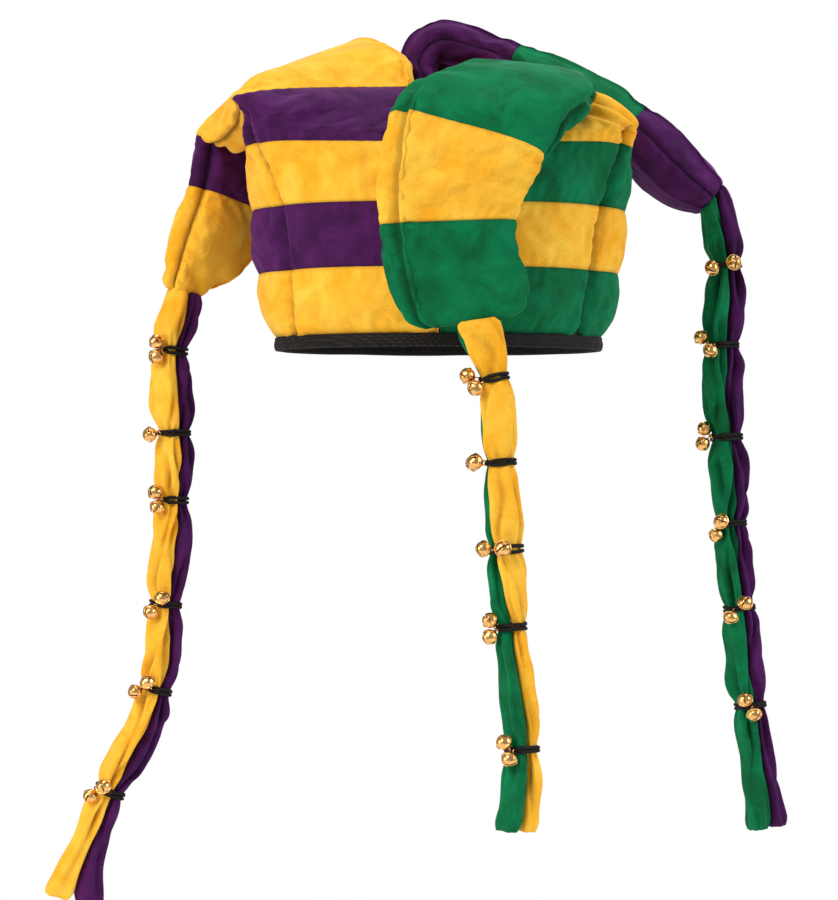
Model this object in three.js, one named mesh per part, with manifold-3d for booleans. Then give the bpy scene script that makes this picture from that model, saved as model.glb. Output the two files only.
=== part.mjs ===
// A striped velvet jester hat: a padded round crown on a bound rim, three padded horns that fold over in
// the same turning sense, and a pair of soft strands under each horn, tied with elastics that carry bells.
// Millimetres, +Z up. The origin is the centre of the head opening, at the rim's lower edge.
// The viewer looks along +Y, with +X to the right.
import * as THREE from 'three';
import { mergeVertices } from 'three/addons/utils/BufferGeometryUtils.js';
import Module from 'manifold-3d';

const wasm = await Module();
wasm.setup();

// Driving dimensions
const headRadius = 92; // inside of the head opening, a 58 cm head
const bindingThickness = 3;
const bindingHeight = 8;
const wallPadding = 18; // from the head opening out to the padded wall's bulge at half height
const stripeHeight = 36; // one crown stripe from seam to seam
const hornReach = 110; // how far a horn travels out and over from the hat's axis
const hornWidth = 90; // from the inner seam to the ridge seam, above the fold
const hornThickness = 29;
const strandWidth = 19; // across the flat of a strand, halfway between two elastics
const strandThickness = 11.5;
const strandLength = 360; // from a horn's tip to a strand's end
const elasticHeight = 3;
const elasticThickness = 1.4;
const bellDiameter = 9;
const bellEyeRadius = 1;
const bellEyeLength = 2.6; // from the middle of the elastic to the bell's body
const pieceGap = 0.3; // between pieces that touch
const sewnShare = 0.5 * pieceGap; // each piece's part of that gap
const elasticFit = 1.5 * pieceGap; // between a gathered pair and its elastic

// Shape of a horn's section, as shares of its thickness and its width
const innerHalfShare = 0.42; // half its thickness beside the inner seam
const innerBulgeShare = 0.36; // how far it bulges out at the inner seam
const ridgeRoundShare = 0.78; // how bluntly its two faces meet at the ridge seam
const faceFlatShare = 0.42; // how far its faces stay flat from the inner seam

// Shape of a strand's section and of a bell
const strandAngles = [-75, -45, -15, 15, 45, 75]; // points round its free side, in degrees
const strandFlatShare = 0.72; // the flat side's share of the strand's width
const swellSharpness = 0.7; // how soon a strand is full again past an elastic
const bellShoulderShare = 0.72; // the bell's radius where its cup turns in
const bellShoulderDepth = 0.3; // how far that is from the cup's end, as a share of the radius

// Mesh fineness
const faceSteps = 6; // points along each velvet face of a section
const liningSteps = 5; // points along the inner side of a section
const stripeSteps = 4; // sections in each stripe
const strandSteps = 3; // sections from one elastic to the next
const bellSides = 10;
const elasticSides = 10;
const bindingSides = 36;
const sectionSpacing = 0.12; // least distance of an added section from a table row, in stripes

// Velvet and trim
const finishes = {
  gold: { color: 0xf6b02c, roughness: 0.9, metalness: 0 },
  purple: { color: 0x50205c, roughness: 0.9, metalness: 0 },
  green: { color: 0x0b6e46, roughness: 0.9, metalness: 0 },
  black: { color: 0x1c1714, roughness: 0.8, metalness: 0 },
  brass: { color: 0xd9a24a, roughness: 0.25, metalness: 1 },
};

const radians = THREE.MathUtils.degToRad;
const crownRadius = headRadius + wallPadding;
const crownTop = bindingHeight + 4 * stripeHeight;
const stripeCount = 7;
const sectorHalfAngle = 60;

// The crown's sections, the same in all three sectors. stripe counts stripes up from the rim. ridge and valley
// are the outer wall's distance from the axis at the sector's middle seam and at its edges, and puff is how far
// the padded faces between these seams stand proud, all as shares of crownRadius. hollow is the head space's
// radius as a share of headRadius. lean and sink are how far a section already follows the roll and the dip of
// its horn's foot.
const crownSections = [
  { stripe: 0.0, ridge: 0.875, valley: 0.875, puff: 0.0, hollow: 1.0, lean: 0, sink: 0 },
  { stripe: 0.12, ridge: 0.885, valley: 0.88, puff: 0.02, hollow: 0.995, lean: 0, sink: 0 },
  { stripe: 0.4, ridge: 0.895, valley: 0.89, puff: 0.05, hollow: 0.99, lean: 0, sink: 0 },
  { stripe: 1.0, ridge: 0.915, valley: 0.905, puff: 0.075, hollow: 0.99, lean: 0, sink: 0 },
  { stripe: 2.0, ridge: 0.965, valley: 0.92, puff: 0.075, hollow: 0.96, lean: 0, sink: 0 },
  { stripe: 2.6, ridge: 1.02, valley: 0.87, puff: 0.07, hollow: 0.87, lean: 0, sink: 0 },
  { stripe: 3.0, ridge: 1.07, valley: 0.78, puff: 0.06, hollow: 0.75, lean: 0, sink: 0.1 },
  { stripe: 3.3, ridge: 1.09, valley: 0.64, puff: 0.05, hollow: 0.55, lean: 0, sink: 0.5 },
  { stripe: 3.55, ridge: 1.11, valley: 0.48, puff: 0.04, hollow: 0.28, lean: 0.05, sink: 0.85 },
  { stripe: 3.75, ridge: 1.12, valley: 0.34, puff: 0.02, hollow: 0.006, lean: 0.15, sink: 1 },
];

// The horns' sections above the crown, in each horn's own frame: out points along its sector's middle seam,
// over is the side that it folds to, and both are shares of hornReach, up of the crown's height. The place is
// that of the horn's inner seam. aim turns the section about the vertical, dip lowers its ridge seam and roll
// is how far the horn has folded over, in degrees. width and thick are shares of hornWidth and hornThickness.
const horns = {
  left: {
    heading: 210,
    colours: ['gold', 'purple'],
    sections: [
      { stripe: 4.0, out: 0.18, over: 0.04, up: 0.985, aim: -6, dip: 4, roll: 24, width: 1.2, thick: 0.88 },
      { stripe: 4.3, out: 0.16, over: 0.17, up: 1.085, aim: -4, dip: 13, roll: 60, width: 1.17, thick: 1.0 },
      { stripe: 4.6, out: 0.18, over: 0.55, up: 1.14, aim: 2, dip: 25, roll: 98, width: 1.1, thick: 1.0 },
      { stripe: 4.8, out: 0.18, over: 0.92, up: 1.02, aim: 8, dip: 19, roll: 125, width: 1.02, thick: 1.0 },
      { stripe: 5.0, out: 0.2, over: 1.17, up: 0.83, aim: 16, dip: -1, roll: 152, width: 0.92, thick: 1.0 },
      { stripe: 6.0, out: 0.38, over: 1.2, up: 0.56, aim: 20, dip: -12, roll: 170, width: 0.77, thick: 0.95 },
      { stripe: 6.5, out: 0.6, over: 1.16, up: 0.37, aim: 20, dip: -14, roll: 168, width: 0.6, thick: 0.85 },
      { stripe: 7.0, out: 0.91, over: 1.07, up: 0.22, aim: 20, dip: -12, roll: 166, width: 0.28, thick: 0.55 },
    ],
  },
  front: {
    heading: 330,
    colours: ['green', 'gold'],
    sections: [
      { stripe: 4.0, out: 0.14, over: 0.07, up: 0.985, aim: 0, dip: 6, roll: 36, width: 1.02, thick: 0.85 },
      { stripe: 4.3, out: 0.28, over: 0.3, up: 1.0, aim: 4, dip: 8, roll: 74, width: 0.93, thick: 0.95 },
      { stripe: 4.6, out: 0.45, over: 0.62, up: 0.97, aim: 12, dip: 10, roll: 98, width: 0.89, thick: 0.95 },
      { stripe: 4.8, out: 0.46, over: 0.92, up: 0.92, aim: 20, dip: 14, roll: 124, width: 0.9, thick: 0.95 },
      { stripe: 5.0, out: 0.43, over: 1.1, up: 0.81, aim: 28, dip: 17, roll: 152, width: 0.9, thick: 0.95 },
      { stripe: 6.0, out: 0.4, over: 1.14, up: 0.43, aim: 38, dip: -2, roll: 178, width: 0.76, thick: 0.95 },
      { stripe: 6.6, out: 0.45, over: 1.12, up: 0.2, aim: 38, dip: -2, roll: 182, width: 0.76, thick: 0.85 },
      { stripe: 7.0, out: 0.52, over: 1.1, up: 0.05, aim: 38, dip: -8, roll: 184, width: 0.66, thick: 0.6 },
    ],
  },
  back: {
    heading: 90,
    colours: ['purple', 'green'],
    sections: [
      { stripe: 4.0, out: 0.17, over: -0.02, up: 1.0, aim: 0, dip: 4, roll: 2, width: 1.15, thick: 0.9 },
      { stripe: 4.4, out: 0.24, over: -0.1, up: 1.12, aim: 0, dip: 5, roll: 22, width: 1.06, thick: 1.05 },
      { stripe: 4.7, out: 0.26, over: 0.03, up: 1.2, aim: 0, dip: 7, roll: 86, width: 0.98, thick: 1.1 },
      { stripe: 5.0, out: 0.22, over: 0.39, up: 1.12, aim: -2, dip: 8, roll: 113, width: 0.92, thick: 1.15 },
      { stripe: 6.0, out: 0.2, over: 1.04, up: 0.87, aim: -4, dip: 6, roll: 121, width: 0.78, thick: 1.3 },
      { stripe: 6.6, out: 0.24, over: 1.29, up: 0.71, aim: -4, dip: 4, roll: 123, width: 0.6, thick: 1.2 },
      { stripe: 7.0, out: 0.3, over: 1.48, up: 0.6, aim: -4, dip: 0, roll: 128, width: 0.28, thick: 0.9 },
    ],
  },
};

// The strands under each horn. Each row is an elastic, but for the first, which is the horn's tip, and the last,
// which is the cut end. drop is the way down and swing the way to the right, as shares of strandLength. twist
// turns the pair about its own length, in degrees: at 0 its first strand is on the left and at -90 behind. full
// is how full the stretch above the row is, and waist how tightly the row itself is gathered. Each elastic's
// two bells hang round it in degrees from the front to the left, raised by up to half of bellDiameter. seat is
// where the pair is sewn to the tip, as a share of the way from the inner seam to the ridge seam.
const tails = {
  left: {
    strands: ['gold', 'purple'],
    seat: 0.54,
    rows: [
      { drop: 0.0, swing: 0.0, twist: 34, full: 0, waist: 0.8 },
      { drop: 0.093, swing: -0.02, twist: 38, full: 0.9, waist: 0.72, sideA: 34, riseA: 0.5, sideB: 36, riseB: -0.5 },
      { drop: 0.229, swing: -0.016, twist: 44, full: 0.95, waist: 0.72, sideA: 58, riseA: -0.1, sideB: 112, riseB: -0.1 },
      { drop: 0.339, swing: -0.019, twist: 38, full: 0.9, waist: 0.72, sideA: 40, riseA: 0.5, sideB: 34, riseB: -0.5 },
      { drop: 0.511, swing: -0.03, twist: 36, full: 0.9, waist: 0.72, sideA: 4, riseA: 0.5, sideB: 34, riseB: -0.5 },
      { drop: 0.651, swing: -0.045, twist: 30, full: 0.85, waist: 0.7, sideA: 18, riseA: 0.5, sideB: 52, riseB: -0.3 },
      { drop: 0.819, swing: -0.122, twist: 28, full: 0.85, waist: 0.7, sideA: 10, riseA: 0.4, sideB: 52, riseB: -0.5 },
      { drop: 1.0, swing: -0.184, twist: 20, full: 0.85, waist: 1.05 },
    ],
  },
  front: {
    strands: ['green', 'gold'],
    seat: 0.6,
    rows: [
      { drop: 0.0, swing: 0.0, twist: -90, full: 0, waist: 0.8 },
      { drop: 0.083, swing: 0.026, twist: -90, full: 0.85, waist: 0.68, sideA: 74, riseA: 0.3, sideB: 48, riseB: -0.5 },
      { drop: 0.21, swing: 0.036, twist: -88, full: 0.9, waist: 0.7, sideA: 62, riseA: 0.1, sideB: 112, riseB: 0.0 },
      { drop: 0.341, swing: 0.044, twist: -64, full: 0.85, waist: 0.7, sideA: 52, riseA: 0.1, sideB: 8, riseB: 0.1 },
      { drop: 0.458, swing: 0.052, twist: 4, full: 0.8, waist: 0.7, sideA: 55, riseA: 0.5, sideB: 55, riseB: -0.5 },
      { drop: 0.642, swing: 0.068, twist: 34, full: 0.8, waist: 0.7, sideA: 44, riseA: 0.5, sideB: 30, riseB: -0.5 },
      { drop: 0.767, swing: 0.06, twist: 36, full: 0.8, waist: 0.95 },
    ],
  },
  back: {
    strands: ['green', 'purple'],
    seat: 0.5,
    rows: [
      { drop: 0.0, swing: 0.0, twist: 12, full: 0, waist: 0.85 },
      { drop: 0.108, swing: 0.018, twist: 18, full: 0.85, waist: 0.72, sideA: 36, riseA: -0.2, sideB: -12, riseB: 0.1 },
      { drop: 0.239, swing: 0.013, twist: 26, full: 0.9, waist: 0.72, sideA: 66, riseA: 0.5, sideB: 34, riseB: -0.4 },
      { drop: 0.39, swing: 0.019, twist: 26, full: 0.9, waist: 0.72, sideA: 76, riseA: 0.6, sideB: 72, riseB: -0.4 },
      { drop: 0.532, swing: 0.026, twist: 20, full: 0.85, waist: 0.72, sideA: 26, riseA: 0.2, sideB: 50, riseB: -0.7 },
      { drop: 0.671, swing: 0.04, twist: 26, full: 0.8, waist: 0.7, sideA: -8, riseA: 0.4, sideB: 26, riseB: -0.5 },
      { drop: 0.831, swing: 0.058, twist: 26, full: 0.8, waist: 0.7, sideA: 18, riseA: 0.5, sideB: -4, riseB: -0.5 },
      { drop: 1.033, swing: 0.084, twist: 24, full: 0.8, waist: 1.0 },
    ],
  },
};

// Values between two rows of a table, smoothly along its first column.
function rowAt(rows, key, at) {
  const last = rows.length - 2;
  const i = Math.max(0, Math.min(last, rows.findIndex((row) => row[key] > at) - 1));
  const index = at >= rows[last + 1][key] ? last : i;
  const [a, b] = [rows[index], rows[index + 1]];
  const [before, after] = [rows[Math.max(0, index - 1)], rows[Math.min(last + 1, index + 2)]];
  const span = b[key] - a[key];
  const t = (at - a[key]) / span;
  const result = {};
  for (const name of Object.keys(a)) {
    const slopeA = ((b[name] - before[name]) / (b[key] - before[key])) * span;
    const slopeB = ((after[name] - a[name]) / (after[key] - a[key])) * span;
    result[name] =
      a[name] * (2 * t ** 3 - 3 * t ** 2 + 1) +
      slopeA * (t ** 3 - 2 * t ** 2 + t) +
      b[name] * (3 * t ** 2 - 2 * t ** 3) +
      slopeB * (t ** 3 - t ** 2);
  }
  return result;
}

// A crown section in real lengths. round and flat are the lengths of the face curve's handles. Where level is 1,
// a section that leans still fills its sector, seen from above.
function crownRow({ stripe, ridge, valley, puff, hollow, lean, sink }, foot) {
  const arcHandle = (4 / 3) * Math.tan(radians(sectorHalfAngle / 4));
  return {
    stripe,
    out: sink * pieceGap,
    over: 0,
    up: bindingHeight + pieceGap + stripe * stripeHeight + sink * (foot.up - 1) * crownTop,
    aim: 0,
    dip: sink * foot.dip,
    roll: lean * foot.roll,
    ridge: ridge * crownRadius,
    seam: valley * crownRadius,
    spread: sectorHalfAngle,
    round: arcHandle * ridge * crownRadius,
    flat: arcHandle * valley * crownRadius,
    puff: puff * crownRadius,
    hollow: hollow * headRadius,
    cap: 0,
    level: 1,
  };
}

// A horn section in real lengths.
function hornRow({ stripe, out, over, up, aim, dip, roll, width, thick }) {
  const thickness = thick * hornThickness;
  return {
    stripe,
    out: out * hornReach,
    over: over * hornReach,
    up: up * crownTop,
    aim,
    dip,
    roll,
    ridge: width * hornWidth,
    seam: innerHalfShare * thickness,
    spread: 90,
    round: ridgeRoundShare * thickness,
    flat: faceFlatShare * width * hornWidth,
    puff: 0,
    hollow: 0,
    cap: innerBulgeShare * thickness,
    level: 0,
  };
}

function cubic(a, b, c, d, t) {
  const s = 1 - t;
  return a * s ** 3 + 3 * b * s ** 2 * t + 3 * c * s * t ** 2 + d * t ** 3;
}

// One section's outline: out along one face to the ridge seam, back along the other, then the inner side.
function sectionOutline(row) {
  const angle = radians(row.spread);
  const end = { u: row.seam * Math.cos(angle), v: row.seam * Math.sin(angle) };
  const pull = {
    u: end.u + row.flat * Math.sin(angle) + row.puff * Math.cos(angle),
    v: end.v - row.flat * Math.cos(angle) + row.puff * Math.sin(angle),
  };
  const face = [];
  for (let i = 0; i <= faceSteps; i++) {
    const t = i / faceSteps;
    face.push({
      u: cubic(row.ridge, row.ridge + row.puff, pull.u, end.u, t),
      v: cubic(0, row.round, pull.v, end.v, t),
    });
  }
  const outline = [
    ...face.slice(1).reverse().map(({ u, v }) => ({ u, v: -v })),
    ...face,
  ];
  for (let i = 0; i <= liningSteps; i++) {
    const q = 1 - (2 * i) / liningSteps;
    outline.push({
      u: row.hollow * Math.cos(q * angle) - row.cap * (1 - q * q),
      v: row.hollow * Math.sin(q * angle) + row.cap * q,
    });
  }
  return outline;
}

// The section's frame: u runs from the inner seam to the ridge seam, v across, normal along the horn.
function sectionFrame(row, heading) {
  const azimuth = radians(heading + row.aim);
  const outward = new THREE.Vector3(Math.cos(radians(heading)), Math.sin(radians(heading)), 0);
  const sideways = new THREE.Vector3(outward.y, -outward.x, 0);
  const u = new THREE.Vector3(Math.cos(azimuth), Math.sin(azimuth), 0)
    .multiplyScalar(Math.cos(radians(row.dip)))
    .setZ(-Math.sin(radians(row.dip)));
  const level = new THREE.Vector3(Math.sin(azimuth), -Math.cos(azimuth), 0);
  const normal = new THREE.Vector3()
    .crossVectors(level, u)
    .multiplyScalar(Math.cos(radians(row.roll)))
    .addScaledVector(level, Math.sin(radians(row.roll)));
  const stretch = 1 + row.level * (1 / Math.cos(radians(row.roll)) - 1);
  const v = new THREE.Vector3().crossVectors(normal, u).multiplyScalar(stretch);
  const sectorShift = sewnShare / Math.sin(radians(sectorHalfAngle));
  const origin = outward.multiplyScalar(row.out + sectorShift).addScaledVector(sideways, row.over);
  origin.z = row.up;
  return { origin, u, v, normal };
}

// The points of a section's outline in space, moved along the horn by shift.
function sectionRing(row, heading, shift = 0) {
  const frame = sectionFrame(row, heading);
  return sectionOutline(row).map(({ u, v }) =>
    frame.origin
      .clone()
      .addScaledVector(frame.u, u)
      .addScaledVector(frame.v, v)
      .addScaledVector(frame.normal, shift),
  );
}

// A closed solid through rings of equal point counts. caps holds the flat outlines that its two ends close on.
// mirrored turns the edges that cut each quad in two, so that twisted neighbours lie evenly side by side.
function loftGeometry(rings, caps, mirrored = false) {
  const count = rings[0].length;
  const positions = rings.flat().flatMap((point) => point.toArray());
  const index = [];
  for (let ring = 0; ring + 1 < rings.length; ring++) {
    for (let i = 0; i < count; i++) {
      const a = ring * count + i;
      const b = ring * count + ((i + 1) % count);
      if (mirrored) index.push(a, b, a + count, b, b + count, a + count);
      else index.push(a, b, b + count, a, b + count, a + count);
    }
  }
  const lastRing = (rings.length - 1) * count;
  for (const [a, b, c] of THREE.ShapeUtils.triangulateShape(caps[0], [])) index.push(c, b, a);
  for (const [a, b, c] of THREE.ShapeUtils.triangulateShape(caps[1], [])) {
    index.push(lastRing + a, lastRing + b, lastRing + c);
  }
  const geometry = new THREE.BufferGeometry();
  geometry.setAttribute('position', new THREE.Float32BufferAttribute(positions, 3));
  geometry.setIndex(index);
  geometry.computeVertexNormals();
  return geometry;
}

function velvetMesh(name, geometry, finish) {
  const mesh = new THREE.Mesh(geometry, new THREE.MeshStandardMaterial(finishes[finish]));
  mesh.name = name;
  return mesh;
}

// The rows of one sector from the rim to its horn's tip.
function sectorRows(horn) {
  const foot = horn.sections[0];
  return [...crownSections.map((row) => crownRow(row, foot)), ...horn.sections.map(hornRow)];
}

// One stripe of a sector, sewn to the next stripe at each end.
function stripeMesh(side, horn, stripe) {
  const rows = sectorRows(horn);
  const levels = rows.map((row) => row.stripe).filter((at) => at > stripe && at < stripe + 1);
  for (let i = 1; i < stripeSteps; i++) {
    const level = stripe + i / stripeSteps;
    if (levels.every((at) => Math.abs(at - level) > sectionSpacing)) levels.push(level);
  }
  levels.push(stripe, stripe + 1);
  levels.sort((a, b) => a - b);
  const cut = levels.map((level) => rowAt(rows, 'stripe', level));
  const rings = cut.map((row, i) => {
    const shift = i === 0 ? sewnShare : i === cut.length - 1 ? -sewnShare : 0;
    return sectionRing(row, horn.heading, shift);
  });
  const caps = [cut[0], cut[cut.length - 1]].map((row) =>
    sectionOutline(row).map(({ u, v }) => new THREE.Vector2(u, v)),
  );
  const finish = horn.colours[stripe % 2];
  return velvetMesh(`${side}_stripe_${stripe + 1}`, loftGeometry(rings, caps), finish);
}

// Half of the pair's outline at a given fullness: one strand, with its flat side towards the other one.
function strandOutline(side, fullness) {
  const reach = fullness * strandThickness;
  const half = 0.5 * fullness ** 0.5 * strandWidth;
  const outline = strandAngles.map((angle) => ({
    along: side * (sewnShare + reach * Math.cos(radians(angle))),
    across: half * Math.sin(radians(angle)),
  }));
  for (const edge of [strandFlatShare, -strandFlatShare]) {
    outline.push({ along: side * sewnShare, across: edge * half });
  }
  return side > 0 ? outline : outline.reverse();
}

// Where the pair under a horn runs: its centre, its own two axes and how full each strand is, from row to row.
class TailPath {
  constructor(horn, tail) {
    const tip = hornRow(horn.sections[horn.sections.length - 1]);
    const frame = sectionFrame(tip, horn.heading);
    this.rows = tail.rows;
    this.tipNormal = frame.normal;
    this.tip = frame.origin.clone().addScaledVector(frame.u, tail.seat * tip.ridge - 0.5 * tip.cap);
    this.tip.addScaledVector(frame.normal, sewnShare);
    this.curve = new THREE.CatmullRomCurve3(
      tail.rows.map(({ drop, swing }) =>
        this.tip.clone().add(new THREE.Vector3(swing * strandLength, 0, -drop * strandLength)),
      ),
    );
  }

  // The pair at a row number, which may lie between two rows.
  at(place) {
    const last = this.rows.length - 1;
    const index = Math.min(Math.floor(place), last - 1);
    const t = place - index;
    const [above, below] = [this.rows[index], this.rows[index + 1]];
    const gathered = THREE.MathUtils.lerp(above.waist, below.waist, t);
    const fullness = gathered + (below.full - gathered) * Math.sin(Math.PI * t) ** swellSharpness;
    const tangent = place === 0 ? this.tipNormal.clone() : this.curve.getTangent(place / last);
    const turn = radians(THREE.MathUtils.lerp(above.twist, below.twist, t));
    const along = new THREE.Vector3(Math.cos(turn), Math.sin(turn), 0);
    along.addScaledVector(tangent, -along.dot(tangent)).normalize();
    const across = new THREE.Vector3().crossVectors(tangent, along);
    return { centre: this.curve.getPoint(place / last), along, across, tangent, fullness };
  }
}

function strandMesh(side, finish, path, hand) {
  const rings = [];
  const outlines = [];
  const last = path.rows.length - 1;
  for (let step = 0; step <= last * strandSteps; step++) {
    const { centre, along, across, tangent, fullness } = path.at(step / strandSteps);
    const seat = step === 0 ? sewnShare : 0;
    const outline = strandOutline(hand, fullness);
    outlines.push(outline.map((point) => new THREE.Vector2(point.along, point.across)));
    rings.push(
      outline.map((point) =>
        centre
          .clone()
          .addScaledVector(along, point.along)
          .addScaledVector(across, point.across)
          .addScaledVector(tangent, seat),
      ),
    );
  }
  const caps = [outlines[0], outlines[outlines.length - 1]];
  return velvetMesh(`${side}_tail_${finish}`, loftGeometry(rings, caps, hand < 0), finish);
}

function solidFrom(geometry) {
  const bare = geometry.clone();
  bare.deleteAttribute('normal');
  bare.deleteAttribute('uv');
  const merged = mergeVertices(bare, 1e-4);
  return new wasm.Manifold(
    new wasm.Mesh({
      numProp: 3,
      vertProperties: Float32Array.from(merged.attributes.position.array),
      triVerts: Uint32Array.from(merged.index.array),
    }),
  );
}

function geometryFrom(solid) {
  const { vertProperties, triVerts } = solid.getMesh();
  const geometry = new THREE.BufferGeometry();
  geometry.setAttribute('position', new THREE.Float32BufferAttribute(vertProperties, 3));
  geometry.setIndex(Array.from(triVerts));
  geometry.computeVertexNormals();
  return geometry;
}

// The elastic round a gathered pair, as an upright ring whose sides touch the pair's rounded outline.
function elasticGeometry(reach, half) {
  const corner = 1 / Math.cos(Math.PI / elasticSides);
  const outline = (grow) =>
    Array.from({ length: elasticSides }, (_, i) => {
      const angle = (2 * Math.PI * (i + 0.5)) / elasticSides;
      return new THREE.Vector2((reach + grow) * Math.cos(angle), (half + grow) * Math.sin(angle));
    }).map((point) => point.multiplyScalar(corner));
  const shape = new THREE.Shape(outline(elasticFit + elasticThickness));
  shape.holes.push(new THREE.Path(outline(elasticFit).reverse()));
  const geometry = new THREE.ExtrudeGeometry(shape, { depth: elasticHeight, bevelEnabled: false });
  return geometry.translate(0, 0, -0.5 * elasticHeight);
}

// A jingle bell with its narrow eye at the origin and its body along +Y.
function bellGeometry() {
  const radius = 0.5 * bellDiameter;
  const shoulder = bellShoulderDepth * radius;
  const profile = [
    [0, 0],
    [bellEyeRadius, bellEyeLength],
    [bellShoulderShare * radius, bellEyeLength + shoulder],
    [radius, bellEyeLength + radius],
    [bellShoulderShare * radius, bellEyeLength + bellDiameter - shoulder],
    [0, bellEyeLength + bellDiameter],
  ].map(([across, along]) => new THREE.Vector2(across, along));
  return new THREE.LatheGeometry(profile, bellSides);
}

// One elastic with its two bells, as one solid.
function bellsMesh(side, number, path) {
  const { sideA, riseA, sideB, riseB } = path.rows[number];
  const { centre, along, across, tangent, fullness } = path.at(number);
  const reach = fullness * strandThickness;
  const half = 0.5 * fullness ** 0.5 * strandWidth;
  const place = new THREE.Matrix4().makeBasis(along, across, tangent).setPosition(centre);
  let solid = solidFrom(elasticGeometry(reach, half).applyMatrix4(place));
  const middle = elasticFit + 0.5 * elasticThickness;
  for (const [around, rise] of [[sideA, riseA], [sideB, riseB]]) {
    const heading = new THREE.Vector3(-Math.sin(radians(around)), -Math.cos(radians(around)), 0);
    const [near, far] = [heading.dot(along), heading.dot(across)];
    const distance = 1 / Math.hypot(near / (reach + middle), far / (half + middle));
    const hold = centre.clone().addScaledVector(along, near * distance).addScaledVector(across, far * distance);
    const lift = Math.asin((rise * bellDiameter) / (bellEyeLength + 0.5 * bellDiameter));
    const body = heading.multiplyScalar(Math.cos(lift)).setZ(Math.sin(lift));
    const turned = new THREE.Matrix4().makeRotationFromQuaternion(
      new THREE.Quaternion().setFromUnitVectors(new THREE.Vector3(0, 1, 0), body),
    );
    solid = solid.add(solidFrom(bellGeometry().applyMatrix4(turned.setPosition(hold))));
  }
  return velvetMesh(`${side}_bells_${number}`, geometryFrom(solid), 'brass');
}

function rimBinding() {
  const bevel = 0.25 * bindingThickness;
  const outer = headRadius + bindingThickness;
  const profile = [
    [headRadius, bevel],
    [headRadius + bevel, 0],
    [outer - bevel, 0],
    [outer, bevel],
    [outer, bindingHeight - bevel],
    [outer - bevel, bindingHeight],
    [headRadius, bindingHeight],
    [headRadius, bevel],
  ].map(([radius, height]) => new THREE.Vector2(radius, height));
  const geometry = new THREE.LatheGeometry(profile, bindingSides).rotateX(Math.PI / 2);
  return velvetMesh('rim_binding', geometry, 'black');
}

function tailMeshes(side) {
  const tail = tails[side];
  const path = new TailPath(horns[side], tail);
  const meshes = tail.strands.map((finish, i) => strandMesh(side, finish, path, i === 0 ? -1 : 1));
  for (let number = 1; number < tail.rows.length - 1; number++) meshes.push(bellsMesh(side, number, path));
  return meshes;
}

const hat = new THREE.Group();
hat.add(rimBinding());
for (const [side, horn] of Object.entries(horns)) {
  for (let stripe = 0; stripe < stripeCount; stripe++) hat.add(stripeMesh(side, horn, stripe));
  hat.add(...tailMeshes(side));
}

export default hat;
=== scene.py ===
"""Dresses the jester hat: padded velvet stripes, gathered strands, elastics, jingle bells and a bound rim."""
import logging
import math
from dataclasses import astuple, dataclass, field
from enum import Enum

import bmesh
import bpy
import numpy as np
from mathutils import Matrix, Vector, noise

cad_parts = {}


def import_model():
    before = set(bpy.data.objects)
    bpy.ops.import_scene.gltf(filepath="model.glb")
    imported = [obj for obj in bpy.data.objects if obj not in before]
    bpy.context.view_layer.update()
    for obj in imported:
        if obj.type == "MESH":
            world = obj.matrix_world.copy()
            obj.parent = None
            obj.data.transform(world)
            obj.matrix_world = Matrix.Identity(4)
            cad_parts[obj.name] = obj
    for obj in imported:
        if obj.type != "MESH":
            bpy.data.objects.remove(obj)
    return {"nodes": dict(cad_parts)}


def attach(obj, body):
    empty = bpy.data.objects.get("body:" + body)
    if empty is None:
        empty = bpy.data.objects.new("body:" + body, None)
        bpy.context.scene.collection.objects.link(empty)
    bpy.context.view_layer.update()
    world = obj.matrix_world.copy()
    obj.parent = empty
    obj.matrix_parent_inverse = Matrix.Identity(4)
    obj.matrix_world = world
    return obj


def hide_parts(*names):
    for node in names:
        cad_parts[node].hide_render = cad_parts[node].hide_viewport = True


log = logging.getLogger("jester_hat")

MM = 0.001
BODY = "root"
PIECE_GAP = 0.3
SEWN_SHARE = 0.5 * PIECE_GAP
HEAD_RADIUS = 92.0
WALL_PADDING = 18.0
CROWN_RADIUS = HEAD_RADIUS + WALL_PADDING
BINDING_THICKNESS = 3.0
BINDING_HEIGHT = 8.0
STRIPE_HEIGHT = 36.0
CROWN_STRIPES = 4
STRIPE_COUNT = 7
CROWN_TOP = BINDING_HEIGHT + CROWN_STRIPES * STRIPE_HEIGHT
HORN_REACH = 110.0
HORN_WIDTH = 90.0
HORN_THICKNESS = 29.0
STRAND_WIDTH = 19.0
STRAND_THICKNESS = 11.5
STRAND_LENGTH = 360.0
BELL_DIAMETER = 9.0
BELL_EYE_LENGTH = 2.6
ELASTIC_CORD = 2.1
SECTOR_HALF_ANGLE = 60.0
INNER_HALF_SHARE = 0.42
INNER_BULGE_SHARE = 0.36
RIDGE_ROUND_SHARE = 0.78
FACE_FLAT_SHARE = 0.42
DARKEST_SHADE = 0.65


class Side(Enum):
    """The three horns of the hat."""

    LEFT = "left"
    FRONT = "front"
    BACK = "back"


class Pile(Enum):
    """The velvet colours of the hat."""

    GOLD = "gold"
    PURPLE = "purple"
    GREEN = "green"


def linear(hex_colour: str) -> tuple[float, float, float, float]:
    """Turns an sRGB hex colour to a linear one.

    Args:
        hex_colour: six hex digits after a hash.

    Returns:
        Red, green, blue and alpha.
    """
    channels = [int(hex_colour[i:i + 2], 16) / 255 for i in (1, 3, 5)]
    red, green, blue = (c / 12.92 if c <= 0.04045 else ((c + 0.055) / 1.055) ** 2.4 for c in channels)
    return red, green, blue, 1.0


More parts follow.
